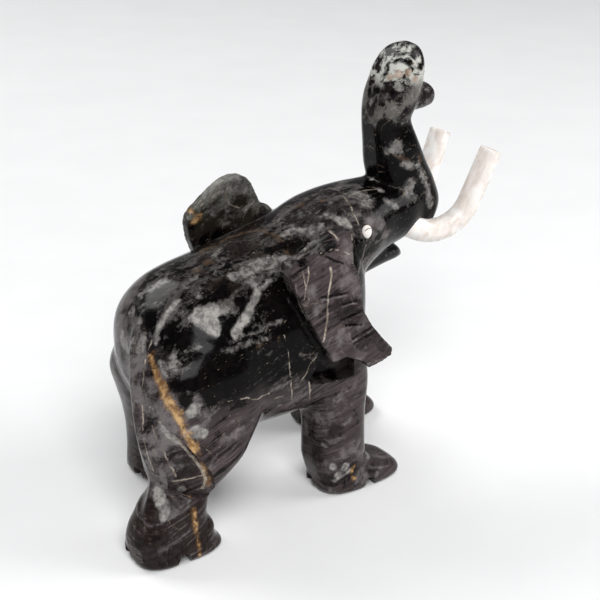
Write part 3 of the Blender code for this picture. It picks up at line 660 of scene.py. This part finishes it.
# each kind of mark: its two tones, how soft and how frayed its edge is in millimetres, how solid it is and how much
# it is grown
markKinds = {
    "brown": {"tones": ((0.06, 0.035, 0.02),
        (0.15, 0.11, 0.08)), "soft": 1.6, "fray": 4.0, "solid": 0.6, "grow": 0.2},
    "haze": {"tones": ((0.09, 0.073, 0.074),
        (0.2, 0.18, 0.176)), "soft": 3.0, "fray": 5.0, "solid": 0.75, "grow": 0.6},
    "black": {"tones": ((0.0015, 0.001, 0.001),
        (0.004, 0.003, 0.003)), "soft": 1.6, "fray": 5.0, "solid": 1.0, "grow": 0.3},
    "shade": {"tones": ((0.006, 0.004, 0.004),
        (0.03, 0.022, 0.02)), "soft": 2.0, "fray": 5.0, "solid": 0.85, "grow": 0.6},
    "cloud": {"tones": ((0.05, 0.046, 0.043),
        (0.3, 0.285, 0.27)), "soft": 2.0, "fray": 6.0, "solid": 0.85, "grow": 0.2},
    "tan": {"tones": ((0.2, 0.14, 0.1), (0.5, 0.4, 0.33)), "soft": 0.9, "fray": 2.5, "solid": 0.85, "grow": 0.1},
    "pale": {"tones": ((0.14, 0.135, 0.13), (0.42, 0.4, 0.37)), "soft": 1.3, "fray": 2.8, "solid": 0.9, "grow": 0.3},
    "gold": {"tones": ((0.17, 0.08, 0.025),
        (0.7, 0.45, 0.21)), "soft": 2.2, "fray": 3.4, "solid": 0.86, "grow": 0.35},
    # painted shade in carved channels and chisel cuts, also used for one dark crack line
    "grooveShadeAndCrack": {"tones": ((0.0015, 0.001, 0.001),
        (0.006, 0.004, 0.004)), "soft": 0.5, "fray": 0.5, "solid": 0.9, "grow": 0.0},
    # painted highlights along polished edges
    "rimHighlight": {"tones": ((0.1, 0.082, 0.082),
        (0.27, 0.235, 0.23)), "soft": 0.7, "fray": 1.1, "solid": 0.8, "grow": 0.05},
    # streaks in the stone, and a few painted highlights along edges
    "veinAndEdgeHighlight": {"tones": ((0.16, 0.13, 0.1),
        (0.6, 0.53, 0.45)), "soft": 0.35, "fray": 0.6, "solid": 0.75, "grow": -0.06},
}
marks = {
    "cloud": {
        "spots": ((-2.1, -15.7, 106.4, 3.8), (1.7, -17, 106.8, 3.4), (5.1, -18.5, 106.9, 2.9),
            (-12.7, -16, 103.9, 3.4), (-8.3, -16.4, 104.7, 2.9), (-7.7, -21.3, 102.4, 2.1),
            (8.5, -18.3, 107.8, 1.7), (-40.3, 4.2, 98.7, 2.9), (-36.8, 1.4, 100.6, 2.9),
            (-43.4, 4.5, 96.8, 2.1), (-54.5, -0.2, 78.4, 3.8), (-54.3, -9.3, 83.4, 3.8), (-53.9, 4, 81, 2.5),
            (-25, -26.5, 95.5, 1.7), (-21.7, -27.1, 95.7, 1.3), (-49.5, -28.1, 79.9, 2.1),
            (-47.3, -25.2, 82.7, 1.7), (18.5, -8.6, 113.5, 2.1), (15.4, -8.1, 112.8, 1.7),
            (35.4, -12.1, 118.3, 2.1), (31.7, -11.7, 117.3, 1.3), (52.2, -14.3, 120.3, 2.9),
            (52.6, -9.5, 121.8, 1.7), (70.1, -10.5, 139.7, 2.9), (67.6, -9.1, 139, 1.7),
            (77.1, -12.6, 123.1, 2.5), (75.8, -13.1, 119.9, 2.1), (65, -16.7, 117.4, 2.1),
            (62.9, -15.3, 119.3, 1.7), (-58.3, -25.8, 62.5, 2.5), (-50.8, -4.4, 90.4, 1.7),
            (-49.6, 2.7, 90.8, 1.7), (22.6, -9.8, 114.3, 1.3), (24.9, -14.4, 113.5, 1.7),
            (28.9, -14.3, 115.2, 1.3), (-29.9, -17.1, 100, 1.3),
            (71.6, -10.1, 165.1, 1.3), (77.1, -11.3, 161.5, 1.3), (66.4, -7, 161.4, 1.3), (82.2, -10.2, 162.6, 1.3),
            (64.5, -0.7, 158.9, 1.1), (69.2, -10.2, 156.2, 1.3), (16.2, 29.4, 123.9, 3.8), (11.5, 29.9, 122.1, 2.9),
            (21.6, 30.1, 119.1, 2.5), (6.5, 31.8, 111.7, 2.5), (13.3, 31.4, 112.7, 2.1)),
        "lines": (
            (1.47, ((74.1, -11.9, 132.8), (81, -12.2, 129.8), (85.4, -12.5, 122.3), (87.7, -13.1, 111.6))),
            (0.59, ((-26.6, -33.1, 86.1), (-14.3, -34, 87.4), (-3.8, -34.3, 88.6))),
            (0.5, ((-30.7, -33.8, 82.8), (-18.7, -35.1, 83.9), (-10.6, -35.4, 84.4))),
            (0.84, ((-51.9, -22.9, 80.1), (-52, -29.1, 77.2))),
            (0.63, ((-43.1, -27.9, 83.9), (-37.8, -29.5, 85.7))),
            (0.5, ((-47.6, 0.3, 93.4), (-42.6, -7.8, 96.8))),
        )},
    "pale": {
        "spots": ((-33.3, -24.6, 94.4, 3.8), (-29.2, -24.6, 95.9, 3.4), (-31.6, -27.7, 92.2, 3.4),
            (-30.8, -29.9, 89.8, 1.3), (-33, -22.1, 96.3, 1.7), (-36.9, -22.5, 94.1, 1.3),
            (37.3, -17.9, 116.3, 2.1), (36.3, -15.8, 117.2, 1.3), (38.5, -19.8, 115.3, 1.3),
            (-45.8, -37.9, 64.5, 2.5), (-48.1, -37.2, 62.8, 1.7),
            (-46.1, -38.7, 55, 2.5), (-43.1, -39.6, 54, 1.7), (-49.1, -37.6, 54.5, 1.7),
            # the two small spots at the trunk's foot, (63.3, -9.9, 122) and (66.3, 0.4, 123.7), are painted
            # highlights in the crease between forehead and trunk
            (63.3, -9.9, 122, 1.1), (66.3, 0.4, 123.7, 0.7), (-60.3, -33.6, 28.7, 2.1),
            (-60.6, -35.6, 25.7, 2.1), (-60.4, -38.1, 23.8, 1.7), (-62.1, -38.6, 22.4, 1.3),
            (-60.3, -32.2, 31.1, 1.3), (23.2, -36.6, 10.8, 1.7), (25.9, -37.8, 14.4, 1.7),
            (20.9, -36.1, 15.2, 1.3), (-51.4, -33.9, 28.8, 1.1),),
        "lines": (
            (0.92, ((-49.6, -16.2, 84.9), (-46.9, -15, 90.5), (-42.3, -13.5, 95.5), (-38.3, -12.9, 98.1))),
            (1.51, ((-23.9, -32.6, 88.2), (-17.3, -30.2, 93.2))),
            (1.34, ((-17.3, -30.2, 93.2), (-9.1, -25.6, 99.2))),
            (0.59, ((-9.1, -25.6, 99.2), (-1.6, -23.4, 102.5))),
            (1.1, ((-56.3, -31.2, 56.5), (-54.5, -32.5, 53.2), (-51.8, -33.6, 50.6))),
            (0.5, ((21.7, -35.2, 8.1), (28.5, -37.9, 12.5))),
        )},
    "gold": {
        "spots": ((-3.5, 32.5, 109.2, 1.3), (-1.2, 32.1, 111.5, 1.1), (-2.6, 32.4, 109.9, 1.7),
            (-4.2, 33.5, 113.5, 1.3), (29.6, -37.8, 11.6, 0.8),
            (30.1, -38.1, 7.6, 0.8)),
        "lines": (
            (0.7, ((-52.7, -16.6, 80.3), (-54.4, -24.2, 77.1))),
            (1.3, ((-54.4, -24.2, 77.1), (-54.9, -29.2, 72.5), (-53.7, -32.8, 66.9))),
            (1.7, ((-53.7, -32.8, 66.9), (-51.3, -35.8, 60.5))),
            (1.4, ((-51.3, -35.8, 60.5), (-49.1, -37.7, 53.7), (-47.8, -39.7, 48.1))),
            (0.6, ((-47.8, -39.7, 48.1), (-43.8, -38.4, 38.8), (-41.6, -38.4, 30.8))),
            (0.55, ((-48.8, -36.9, 26.2), (-50.4, -41.6, 21.4), (-49.8, -42.8, 11.7))),
            (0.4, ((-49.8, -42.8, 11.7), (-49.5, -43.7, 0.0))),
        )},
    # streaks in the stone; three of the lines below are painted highlights along edges
    "veinAndEdgeHighlight": {
        "spots": (),
        "lines": (
            (0.46, ((10.7, -29.8, 114.6), (20.9, -18, 110.9))), (0.5, ((22.8, -29.1, 119.2),
                (22, -33.5, 119.1), (21.8, -35.9, 117.4))),
            # the part of this line running down the near ear's front edge, from (28.9, -38, 113), is a painted
            # highlight on that edge
            (0.42, ((37.8, -25, 107.1), (28.9, -38, 113), (28.9, -38.8, 107.6), (29.2, -40, 101.5))),
            (0.34, ((13.5, -36.8, 114.2), (18.7, -35.5, 114.2), (22.5, -36.9, 113.4), (27.1, -37.4, 111.2))),
            (0.34, ((3, -34.2, 112.4), (4.3, -37.7, 109.1), (5.7, -39.9, 97.7))),
            (0.45, ((-56.8, -30, 58.7), (-51.4, -33.9, 50.9))),
            (0.75, ((-51.4, -33.9, 50.9), (-47.4, -35.7, 43.6), (-43.3, -37.5, 36.9), (-42, -38.1, 31.7),
                (-43.2, -37.6, 28.3))),
            (0.6, ((-52, -37.0, 28.6), (-48.6, -35.9, 26.9), (-43.2, -37.6, 28.3))),
            # this line along the tail's near edge is a painted highlight on that edge
            (0.34, ((-50.3, -14.3, 85.1), (-52.9, -13.8, 80.9), (-56.9, -18.9, 74.2), (-59.7, -22.2, 63.5),
                (-61.7, -24.1, 53.2), (-61.2, -26.5, 45.3), (-60.7, -29.6, 38.5))),
            (0.34, ((-3.1, -36, 83.4), (-1.9, -37.1, 72.6), (-0.4, -36.3, 60.6), (1.7, -33.8, 52.1),
                (2.5, -30.4, 46.2))),
            (0.55, ((17, -38, 107.8), (17.1, -38.6, 104.6), (14.9, -39.7, 97), (13.5, -41.8, 87.8),
                (10.2, -43.2, 80.1))),
            (0.42, ((7.3, -37.6, 110), (6.7, -38.4, 105.4), (3.4, -39.8, 98.3))),
            (0.38, ((47.2, 5.9, 121.9), (48.6, 0.5, 122.3), (46.3, -8.2, 121.4), (44.1, -16.2, 118.6),
                (43.2, -20.9, 115.1))),
            (0.34, ((49, -7.3, 121.9), (55.4, -6.5, 122.6), (62.5, -8.1, 122.5))),
            (0.38, ((12.8, 29.5, 124.2), (11.7, 30.2, 120.2), (13.6, 31.1, 114.5), (19.3, 31.5, 110.9),
                (21.6, 25.7, 109.5))),
            # this line just inside the far ear's upper edge is a painted highlight on that edge
            (0.42, ((-4.7, 32.8, 112.9), (1.7, 30.9, 117.5), (8.2, 30.2, 120.9))),
            (0.38, ((-58.5, -26.5, 56.3), (-58.2, -28.7, 51.6), (-56.9, -31.4, 46.6), (-54.6, -32.4, 40),
                (-53, -33.1, 34.4))),
            (0.38, ((-54.1, -32.6, 32.8), (-47.7, -35.5, 33.3), (-42.3, -38, 34))),
            (0.38, ((-32.1, -39.7, 64.2), (-22.7, -39.3, 62.9), (-18, -38.3, 60.6), (-10.5, -36.2, 60))),
            (0.29, ((-8, -35.3, 56.1), (-3.7, -35.3, 56.2))),
            (0.25, ((-43.8, -40.4, 48.9), (-41.5, -41.6, 45.1))),
            (0.5, ((8.3, -35.7, 58.7), (10.5, -33.9, 53.1), (11.6, -31.7, 48.6))),
            (0.38, ((4.4, -36.2, 61), (7.1, -36.6, 63.9), (8.4, -36.8, 67.7), (11.3, -36.9, 70))),
            (0.38, ((38.9, -22.8, 112.3), (37.7, -25.1, 106.3), (28.1, -38.1, 107.3))),
            (0.34, ((1.4, -37.9, 99.3), (3.5, -39, 92.8), (6.4, -40.3, 85.6))),
            (0.21, ((36.1, -6.9, 119.6), (31.3, -8.1, 118))),
        )},
    "haze": {
        "spots": ((26.1, -36.7, 114.6, 2.1), (25.6, -37.4, 110.7, 2.1), (23.6, -38.3, 106.4, 2.1),
            (25.9, -39.3, 101, 2.5),
            (28.4, -40, 97.2, 1.7), (21.9, -39.4, 100.3, 1.7), (7.5, -39.4, 100.5, 2.1), (9.3, -40.8, 92.8, 1.7),
            (27.5, -44.7, 69.1, 2.1), (14.4, -42.1, 70.9, 2.1), (50.1, -21.3, 114.6, 2.5), (54.1, -21.5, 112.9, 2.5),
            (48.8, -21.8, 110.6, 2.1), (58, -20.8, 107.3, 1.7), (-44.3, -37.9, 67.1, 2.1), (-42.5, -39, 61.4, 1.7),
            (-58.1, -26.4, 61.9, 1.7), (26.2, -37.2, 21.3, 1.7), (29.9, -37.2, 23, 1.3), (35.6, -36.8, 16, 1.3),
            (48.9, -30.2, 8.3, 1.3), (17.5, -21.7, 34.2, 1.7), (17.3, -21.3, 28.3, 1.5),
            # the four large spots on the hind end are painted reflection along its grazing edge
            (-46, 12, 92, 5), (-52, 6, 84, 5), (-40, 16, 96, 4), (-56, -6, 70, 4)),
        "lines": (
            (0.8, ((-36, -41, 49.2), (-30.5, -40.9, 49.2), (-26.4, -40.4, 50.3))),
        )},
    "shade": {
        "spots": ((19, -40.9, 92.5, 2.5), (24.4, -40.8, 91.5, 2.5), (21.4, -41.6, 88.7, 2.9),
            (26.4, -41.6, 86.9, 2.5),
            (23.9, -42.4, 84.4, 2.1), (35.1, -43.8, 75.7, 2.3), (38.9, -44.2, 71.2, 1.9), (30.9, -44, 75.5, 1.9),
            (28.8, -44.2, 74.4, 1.5), (17, -30.6, 19.7, 3.4), (22.6, -34.9, 31.9, 2.5), (28.6, -37.8, 12, 2.9),
            (20.7, -34.3, 8, 3.4), (40.3, -37.9, 8, 2.5), (-69.2, -39.8, 6.8, 3.8), (-64.4, -43, 4.9, 3.4),
            (-58.7, -43.4, 7.6, 2.9), (-46.2, -43.3, 7, 2.4), (-71, -35.5, 11.1, 2.9), (-65.1, -41.1, 14.3, 2.5),
            (-54.6, -34.6, 47, 2.1), (-51, -35, 42, 2.3), (-48.5, -35.6, 36.5, 2.5), (-52.4, -34.9, 35.5, 1.9)),
        "lines": ()},
    # painted shade along the channel on the near ear's top edge; the second line is a dark crack
    "grooveShadeAndCrack": {
        "spots": (),
        "lines": (
            (0.8, ((8, -34, 113.5), (13.7, -33.7, 116), (17.1, -33, 117.6), (20.5, -33.5, 118))),
            (0.5, ((15.7, -37.1, 112.5), (19.2, -37.6, 110.1), (23.3, -38, 108))),
        )},
    # painted highlights along the near ear's top and rear edges and along two edges of the face
    "rimHighlight": {
        "spots": (),
        "lines": (
            (0.8, ((4.1, -34, 111.7), (9.9, -31, 115.2), (12.5, -30, 116.8), (16.6, -29, 118.5),
                (20.3, -28.5, 119.2))),
            (0.7, ((22.9, -29, 119.2), (23.1, -32, 118.4), (22.2, -36, 117.9))),
            (0.5, ((45, -24.2, 106.5), (42.9, -24.4, 101.3), (38.9, -27.9, 97.3))),
            (0.5, ((55.5, -19.9, 103), (51, -20.8, 100.2), (47, -23.3, 97))),
            (0.4, ((0.5, -38.6, 104.9), (0.2, -38.9, 97), (1.2, -38, 89))),
        )},
    "tan": {
        "spots": ((71.7, -8.5, 170.6, 1.7), (75.7, -9.9, 171.1, 1.7), (78.8, -10.7, 167.9, 1.3),
            (69, -6.6, 168.9, 1.3)),
        "lines": ()},
    "brown": {
        "spots": ((-16.7, -1.3, 105.7, 2.1), (-23.3, -3.2, 104.5, 1.7), (82.7, -11.2, 133.2, 1.7),
            (72.7, -11.4, 136, 1.3), (31.1, 3.3, 118.5, 1.7), (38.7, -1.8, 120.6, 1.7),),
        "lines": (
            (0.9, ((-14.1, 9.1, 105.5), (-7.2, 9.5, 106.8), (0.9, 10.2, 108.7), (6.6, 6.8, 110.7), (10.7, 1, 112.2),
                (12, -7.4, 112), (11, -16, 109.4), (10.6, -19.5, 107.7))),
            (0.63, ((-15.5, -35.8, 82), (-5.5, -36.2, 82.4))),
            (0.84, ((70.1, -10.6, 136.7), (76.7, -12, 133.6))),
        )},
    "black": {
        "spots": ((-36.9, -31.6, 83.7, 5), (-37, -36.5, 77.2, 5.9), (-43.7, -35.8, 75.5, 5), (-37.6, -38.7, 69.7, 5),
            # the spots from (0.1, -30.7, 95.7) to (-9.1, -35.9, 82.9) sit just behind the near ear and are painted
            # shade between the ear and the body
            (-40.9, -25.8, 87.6, 3.4), (0.1, -30.7, 95.7, 5.9), (2.2, -34.6, 88.8, 5),
            (-5.7, -33.7, 89.7, 4.2), (4.6, -36.6, 81.1, 3.4), (-9.1, -35.9, 82.9, 2.9),
            (-28.4, -35.8, 79.6, 3.4), (-21.1, -37.1, 75.5, 2.5), (-44.3, -19.7, 90.3, 2.9),
            (-22.1, -20.6, 100.2, 2.9), (-16.9, -25.3, 98, 2.5), (-48.6, -36.2, 67.7, 2.5),
            (16.1, -15.7, 110.8, 2.5), (10.9, -13.4, 110.3, 2.1), (5.8, -12.3, 109.4, 2.1),
            (4.9, -36.2, 112.6, 1.7), (66, -7.9, 150.2, 2.9), (70.8, -9.9, 147.3, 2.9),
            (64.3, -5.6, 145.6, 2.5), (68.6, -9.7, 143.7, 2.5), (66.2, -7.1, 132.1, 2.9),
            (71.2, -11, 127.4, 2.9), (67.7, -6.9, 124.2, 2.5), (69.3, -16.7, 116.5, 2.5),
            (80.5, -15, 113.7, 2.5), (56.9, -17.6, 118.1, 2.1), (39.8, -25.1, 105.8, 1.7),
            # (18.7, -28, 58.3), (24.7, -28, 54.7) and (8.9, -36.2, 61.4), under the near ear above the fore leg, are
            # dark stone with painted shade of the ear
            (38.8, -26.5, 101.2, 1.3), (18.7, -28, 58.3, 3.4), (24.7, -28, 54.7, 2.9), (8.9, -36.2, 61.4, 2.5),
            (-50.8, -32.8, 74.1, 2.1), (19, -35, 115.3, 2.1), (14.1, -36.6, 114.8, 1.7),
            (67, 2.9, 166.2, 2.1), (65.9, -2.1, 163.3, 1.9), (65.3, 2.4, 161.5, 1.7), (74, 0.1, 178.4, 1.5),
            (80.4, -7.7, 177, 1.7), (82.9, -9.3, 172.4, 1.5), (68.6, -8.8, 163.1, 1.1), (70.4, -10.6, 159.9, 1.1),
            (65.8, -7.3, 158.6, 1.1), (86.7, -8.2, 158.4, 1.1), (74.1, -10.8, 154.7, 1.3),
            (3, 34.1, 99, 2.9), (9.4, 33.8, 99.5, 3.4), (-3.8, 33, 106.4, 1.7), (20.7, 21.1, 109.3, 2.1)),
        "lines": (
            (0.67, ((68.5, -3.3, 170.3), (70.3, -3.4, 173.8), (73.4, -6, 176), (76.6, -8.6, 174.9),
                (78.1, -10.1, 171.2))),
            (0.59, ((94.2, -8.8, 117.6), (92.7, -11.2, 108.5))),
        )},
}
for earForm in ears.values():
    # each chisel cut of the ears gets painted shade along its bed and a painted highlight along its lower edge
    for x, z, length, slope in cuts["gouges"]:
        run = 0.42 * length * np.array([math.cos(math.radians(slope)), 0.0, math.sin(math.radians(slope))])
        for kind, radius, lower in (("grooveShadeAndCrack", 0.5, 0.0), ("rimHighlight", 0.22, 1.05)):
            ends = [np.array([x, 0.0, z - lower]) + sign * run for sign in (-1, 1)]
            line = tuple((end[0], earForm["side"] * earPlane(end[2]), end[2]) for end in ends)
            marks[kind]["lines"] += ((radius, line),)


def marbleMaterial():
    stone = Maker("darkMarble")
    at = stone.place()
    bent = stone.moved(at, 0.045, 14.0)
    ragged = stone.moved(stone.moved(at, 0.2, 5.0, 3.0), 0.9, 1.8, 3.0)
    wavering = stone.moved(stone.moved(at, 0.1, 2.2), 0.8, 0.8)
    x, z = (stone.vector("DOT_PRODUCT", bent, unit) for unit in ((1.0, 0, 0), (0, 0, 1.0)))
    trueX, trueY, trueZ = (
        stone.vector("DOT_PRODUCT", at, unit) for unit in ((1.0, 0, 0), (0, 1.0, 0), (0, 0, 1.0)))
    # clouds in the dark stone, fine layers in the dusky stone, and a grain of flecks
    mottle = stone.noise(stone.stretched(bent, marble["grain"], 0.065, 0.13), 1.0, 6.0, 0.66, 0.3)
    fleck = stone.noise(at, 0.55, 4.0, 0.65)
    rolling = stone.moved(at, 0.035, 7.0)
    layers = stone.noise(stone.stretched(rolling, marble["layers"], 0.6, 0.045), 1.0, 5.0, 0.62)
    fine = stone.noise(stone.stretched(rolling, marble["layers"], 1.9, 0.1), 1.0, 3.0, 0.6)
    speck = stone.noise(ragged, 0.3, 5.0, 0.75)
    flank = stone.rise(trueZ, 98.0, 84.0) * stone.rise(trueX, -54.0, -46.0)
    quiet = flank.most(stone.rise(trueX, 57.0, 62.0) * stone.rise(z, 153.0, 146.0))
    night = stone.blend(stone.rise(mottle + fleck * 0.5 - quiet * 0.12, 0.7, 0.84), marble["black"], marble["ash"])
    night = stone.blend(stone.rise(mottle * 0.8 + speck - quiet * 0.16, 0.98, 1.08, 0.0, 0.9), night, marble["smoke"])
    thread = stone.noise(stone.stretched(ragged, marble["grain"], 0.05, 0.9), 1.0, 4.0, 0.6)
    night = stone.blend(stone.rise(thread, 0.6, 0.72, 0.0, 0.7), night, marble["ash"])
    # painted reflection: the back of the hindquarters, where the polished stone catches the bright surroundings at a
    # grazing angle, gets the paler dusky stone and more haze
    rumpReflection = stone.rise(x + z * 0.1, -40.0, -50.0)
    calm = stone.rise(stone.noise(at, 0.055, 2.0, 0.5), 0.4, 0.6)
    veil = stone.rise(layers * 0.75 + fine * 0.35, 0.4, 0.74)
    veil = veil * (1 - calm * 0.55) + calm * 0.33
    dusk = stone.blend(veil, marble["duskDark"], marble["duskPale"])
    # the hindquarters' share here pushes the haze up there as painted reflection
    dusk = stone.blend(stone.rise(mottle + fleck * 0.2 + rumpReflection * 0.1, 0.62, 0.8, 0.0, 0.75), dusk, marble["haze"])
    dusk = stone.blend(stone.rise(mottle + layers * 0.35, 0.62, 0.5, 0.0, 0.9), dusk, marble["black"])
    # where the dusky stone runs: legs and belly, partly as painted reflection of the bright floor; ear faces; the
    # hind end, as painted reflection; and the top of the head
    side = trueY.most(trueY * -1)
    # layered stone colour on the lower body, partly standing in as painted reflection of the bright floor on the
    # downward-facing belly and legs
    low = stone.rise(z + layers * 22 - 11, 68.0, 56.0)
    earFace = stone.rise(side + trueZ * ear["flare"], 55.0, 56.4) * stone.rise(trueX + trueZ * 0.41, 41.0, 43.0)
    headTop = stone.rise(trueZ, 109.0, 114.0) * stone.rise(x, 16.0, 24.0) * stone.rise(x, 54.0, 46.0)
    farEar = stone.rise(trueY, 21.0, 25.0) * stone.rise(trueZ, 98.0, 106.0)
    ridge = stone.rise(trueZ, 92.0, 103.0) * stone.rise(trueX, 20.0, 8.0)
    night = stone.blend(ridge * stone.rise(layers * 0.6 + fleck * 0.4, 0.42, 0.6), night, marble["umber"])
    hindFoot = stone.rise(trueX, -34.0, -44.0) * stone.rise(z, 34.0, 20.0)
    colour = stone.blend(low.most(earFace).most(rumpReflection * 0.85).most(headTop * 0.35), night, dusk)
    colour = stone.blend(hindFoot * stone.rise(layers + fleck * 0.3, 0.8, 0.62, 0.3, 0.95), colour, marble["umber"])
    # the far ear's grey-olive face is mottled stone colour and partly painted reflection of the lamps; the rise with
    # height leaves it darker low down near the body as painted shade
    olive = stone.blend(
        stone.rise(mottle * 0.9 + fleck * 0.3 + trueZ * 0.012, 1.86, 2.2), marble["oliveDark"], marble["olive"])
    colour = stone.blend(farEar, colour, olive)
    tip = stone.blend(stone.rise(trueZ, 163.0, 170.0), marble["bulge"], marble["tip"])
    tip = stone.blend(stone.rise(mottle * 0.7 + speck * 0.5, 0.55, 0.66), marble["duskDark"], tip)
    colour = stone.blend(stone.rise(z, 149.0, 156.0), colour, tip)
    # the marks that show on the carving, each kind in its own tones; among them painted shade in channels and cuts
    # and painted highlights along edges
    broken = stone.noise(at, 0.4, 5.0, 0.72)
    tone = stone.rise(stone.noise(wavering, 0.3, 4.0, 0.7), 0.36, 0.64)
    for kind, finish in markKinds.items():
        soft, fray, grow = finish["soft"] / 2, finish["fray"], finish["grow"]
        where = wavering if finish["fray"] < 3.0 else ragged
        reach = stone.toMarks(where, marks[kind]) + broken * fray
        share = stone.rise(reach, grow + fray / 2 + soft, grow + fray / 2 - soft, 0.0, finish["solid"])
        colour = stone.blend(share, colour, stone.blend(tone * share, *finish["tones"]))
    # stray veins and warm flecks all over
    seam = stone.noise(wavering, 0.03, 2.0, 0.5)
    seam = (seam - 0.5).most(0.5 - seam)
    seamShare = stone.rise(seam, 0.0026, 0.0008, 0.0, 0.3) * stone.rise(mottle, 0.46, 0.62)
    colour = stone.blend(seamShare, colour, marble["fleck"])
    crumbs = stone.noise(stone.stretched(rolling, marble["layers"], 1.2, 0.35), 1.0, 4.0, 0.7)
    crumb = stone.rise(crumbs, 0.66, 0.72, 0.0, 0.7)
    colour = stone.blend(crumb, colour, marble["fleck"])
    stone.tree.links.new(colour.socket, stone.shader.inputs["Base Color"])
    rough = stone.rise(fleck, 0.35, 0.7, marble["polish"] - 0.04, marble["polish"] + 0.09)
    stone.tree.links.new(rough.socket, stone.shader.inputs["Roughness"])
    swell = stone.noise(at, 0.16, 2.0, 0.5)
    bump = stone.node("ShaderNodeBump", None, {"Strength": marble["ripple"], "Distance": mm, "Height": swell},
        "Normal")
    stone.tree.links.new(bump.socket, stone.shader.inputs["Normal"])
    stone.shader.inputs["Specular IOR Level"].default_value = marble["gloss"]
    return stone.material


whiteInlay = {"body": (0.86, 0.8, 0.75), "band": (0.74, 0.66, 0.6), "chalk": (0.92, 0.9, 0.87),
    "ink": (0.12, 0.11, 0.1)}
# the lid engraved near the top of each eye
eyeLid = tuple(
    (0.22, tuple((x, sign * (22.6 + out), z) for x, out, z in ((44.9, 1.0, 112.6), (45.6, 1.3, 113.3),
        (46.6, 1.4, 113.5), (47.6, 1.2, 113.1))))
    for sign in (-1.0, 1.0))


def whiteMaterial(name, engraved=()):
    stone = Maker(name)
    at = stone.place()
    cloud = stone.noise(at, 0.12, 4.0, 0.6, 0.4)
    thread = stone.noise(stone.stretched(stone.moved(at, 0.1, 3.0), (0.6, 0, 1.0), 0.08, 0.5), 1.0, 4.0, 0.6)
    colour = stone.blend(stone.rise(thread, 0.4, 0.66), whiteInlay["body"], whiteInlay["band"])
    colour = stone.blend(stone.rise(cloud, 0.48, 0.66), colour, whiteInlay["chalk"])
    if engraved:
        cut = stone.toMarks(stone.moved(at, 0.9, 0.3), {"spots": (), "lines": engraved})
        colour = stone.blend(stone.rise(cut, 0.16, -0.12, 0.0, 0.85), colour, whiteInlay["ink"])
    stone.tree.links.new(colour.socket, stone.shader.inputs["Base Color"])
    stone.tree.links.new(stone.rise(cloud, 0.3, 0.7, 0.22, 0.36).socket, stone.shader.inputs["Roughness"])
    stone.shader.inputs["Subsurface Weight"].default_value = 0.25
    stone.shader.inputs["Subsurface Radius"].default_value = (1.0, 0.7, 0.55)
    stone.shader.inputs["Subsurface Scale"].default_value = 2 * mm
    return stone.material


def floorMaterial():
    card = Maker("paleFloor")
    at = card.place()
    tone = card.rise(card.noise(at, 0.02, 3.0), 0.3, 0.7)
    card.tree.links.new(card.blend(tone, (0.9, 0.9, 0.9),
        (0.92, 0.92, 0.92)).socket, card.shader.inputs["Base Color"])
    card.shader.inputs["Roughness"].default_value = 0.7
    return card.material


print("stone: marble, white inlay and floor")
darkMarble, tuskStone, eyeStone = marbleMaterial(), whiteMaterial("tuskStone"), whiteMaterial("eyeStone", eyeLid)
finishes = {"carvedBody": darkMarble, "tuskRight": tuskStone, "tuskLeft": tuskStone, "eyeRight": eyeStone,
    "eyeLeft": eyeStone}
for name, material in finishes.items():
    bpy.data.objects[name].data.materials.clear()
    bpy.data.objects[name].data.materials.append(material)

# floor, light and camera
studio = {
    "turn": -34.5, "raise": 24.3, "focal": 1400.0, "target": (25.0, -5.6, 80.0), "distance": 588.0, "frame": 600.0,
    "lit": (0, 0, 0.08), "sky": (0.8, 0.82, 0.85, 1), "skyPower": 0.25,
}
# each lamp's place, its size in metres and its power in watts
lamps = {
    "keyLight": ((-0.5, -1.1, 1.3), (0.9, 0.9), 22), "fillLight": ((1.2, -0.6, 0.9), (0.8, 0.8), 12),
    "backLight": ((-0.4, 1.2, 1.2), (1.0, 0.6), 12),
}
floor = bpy.data.meshes.new("floor")
floor.from_pydata([(-3, -3, 0), (3, -3, 0), (3, 3, 0), (-3, 3, 0)], [], [(0, 1, 2, 3)])
floorPiece = bpy.data.objects.new("floor", floor)
bpy.context.scene.collection.objects.link(floorPiece)
floor.materials.append(floorMaterial())


def areaLight(name, place, target, size, power):
    data = bpy.data.lights.new(name, "AREA")
    data.shape = "RECTANGLE"
    data.size, data.size_y = size
    data.energy = power
    lamp = bpy.data.objects.new(name, data)
    bpy.context.scene.collection.objects.link(lamp)
    lamp.location = place
    lamp.rotation_euler = (Vector(target) - Vector(place)).to_track_quat("-Z", "Y").to_euler()


for name, (place, size, power) in lamps.items():
    areaLight(name, place, studio["lit"], size, power)
world = bpy.data.worlds.new("studio")
world.use_nodes = True
world.node_tree.nodes["Background"].inputs["Color"].default_value = studio["sky"]
world.node_tree.nodes["Background"].inputs["Strength"].default_value = studio["skyPower"]
bpy.context.scene.world = world
bpy.context.scene.view_settings.view_transform = "Standard"

turn, tilt = math.radians(studio["turn"]), math.radians(studio["raise"])
back = Vector((math.sin(turn) * math.cos(tilt), -math.cos(turn) * math.cos(tilt), math.sin(tilt)))
cameraData = bpy.data.cameras.new("camera")
cameraData.sensor_width = 36.0
cameraData.lens = 36.0 * studio["focal"] / studio["frame"]
cameraData.clip_start = 0.01
camera = bpy.data.objects.new("camera", cameraData)
bpy.context.scene.collection.objects.link(camera)
camera.location = Vector(toRow(studio["target"])) + back * studio["distance"] * mm
camera.rotation_euler = back.to_track_quat("Z", "Y").to_euler()
bpy.context.scene.camera = camera
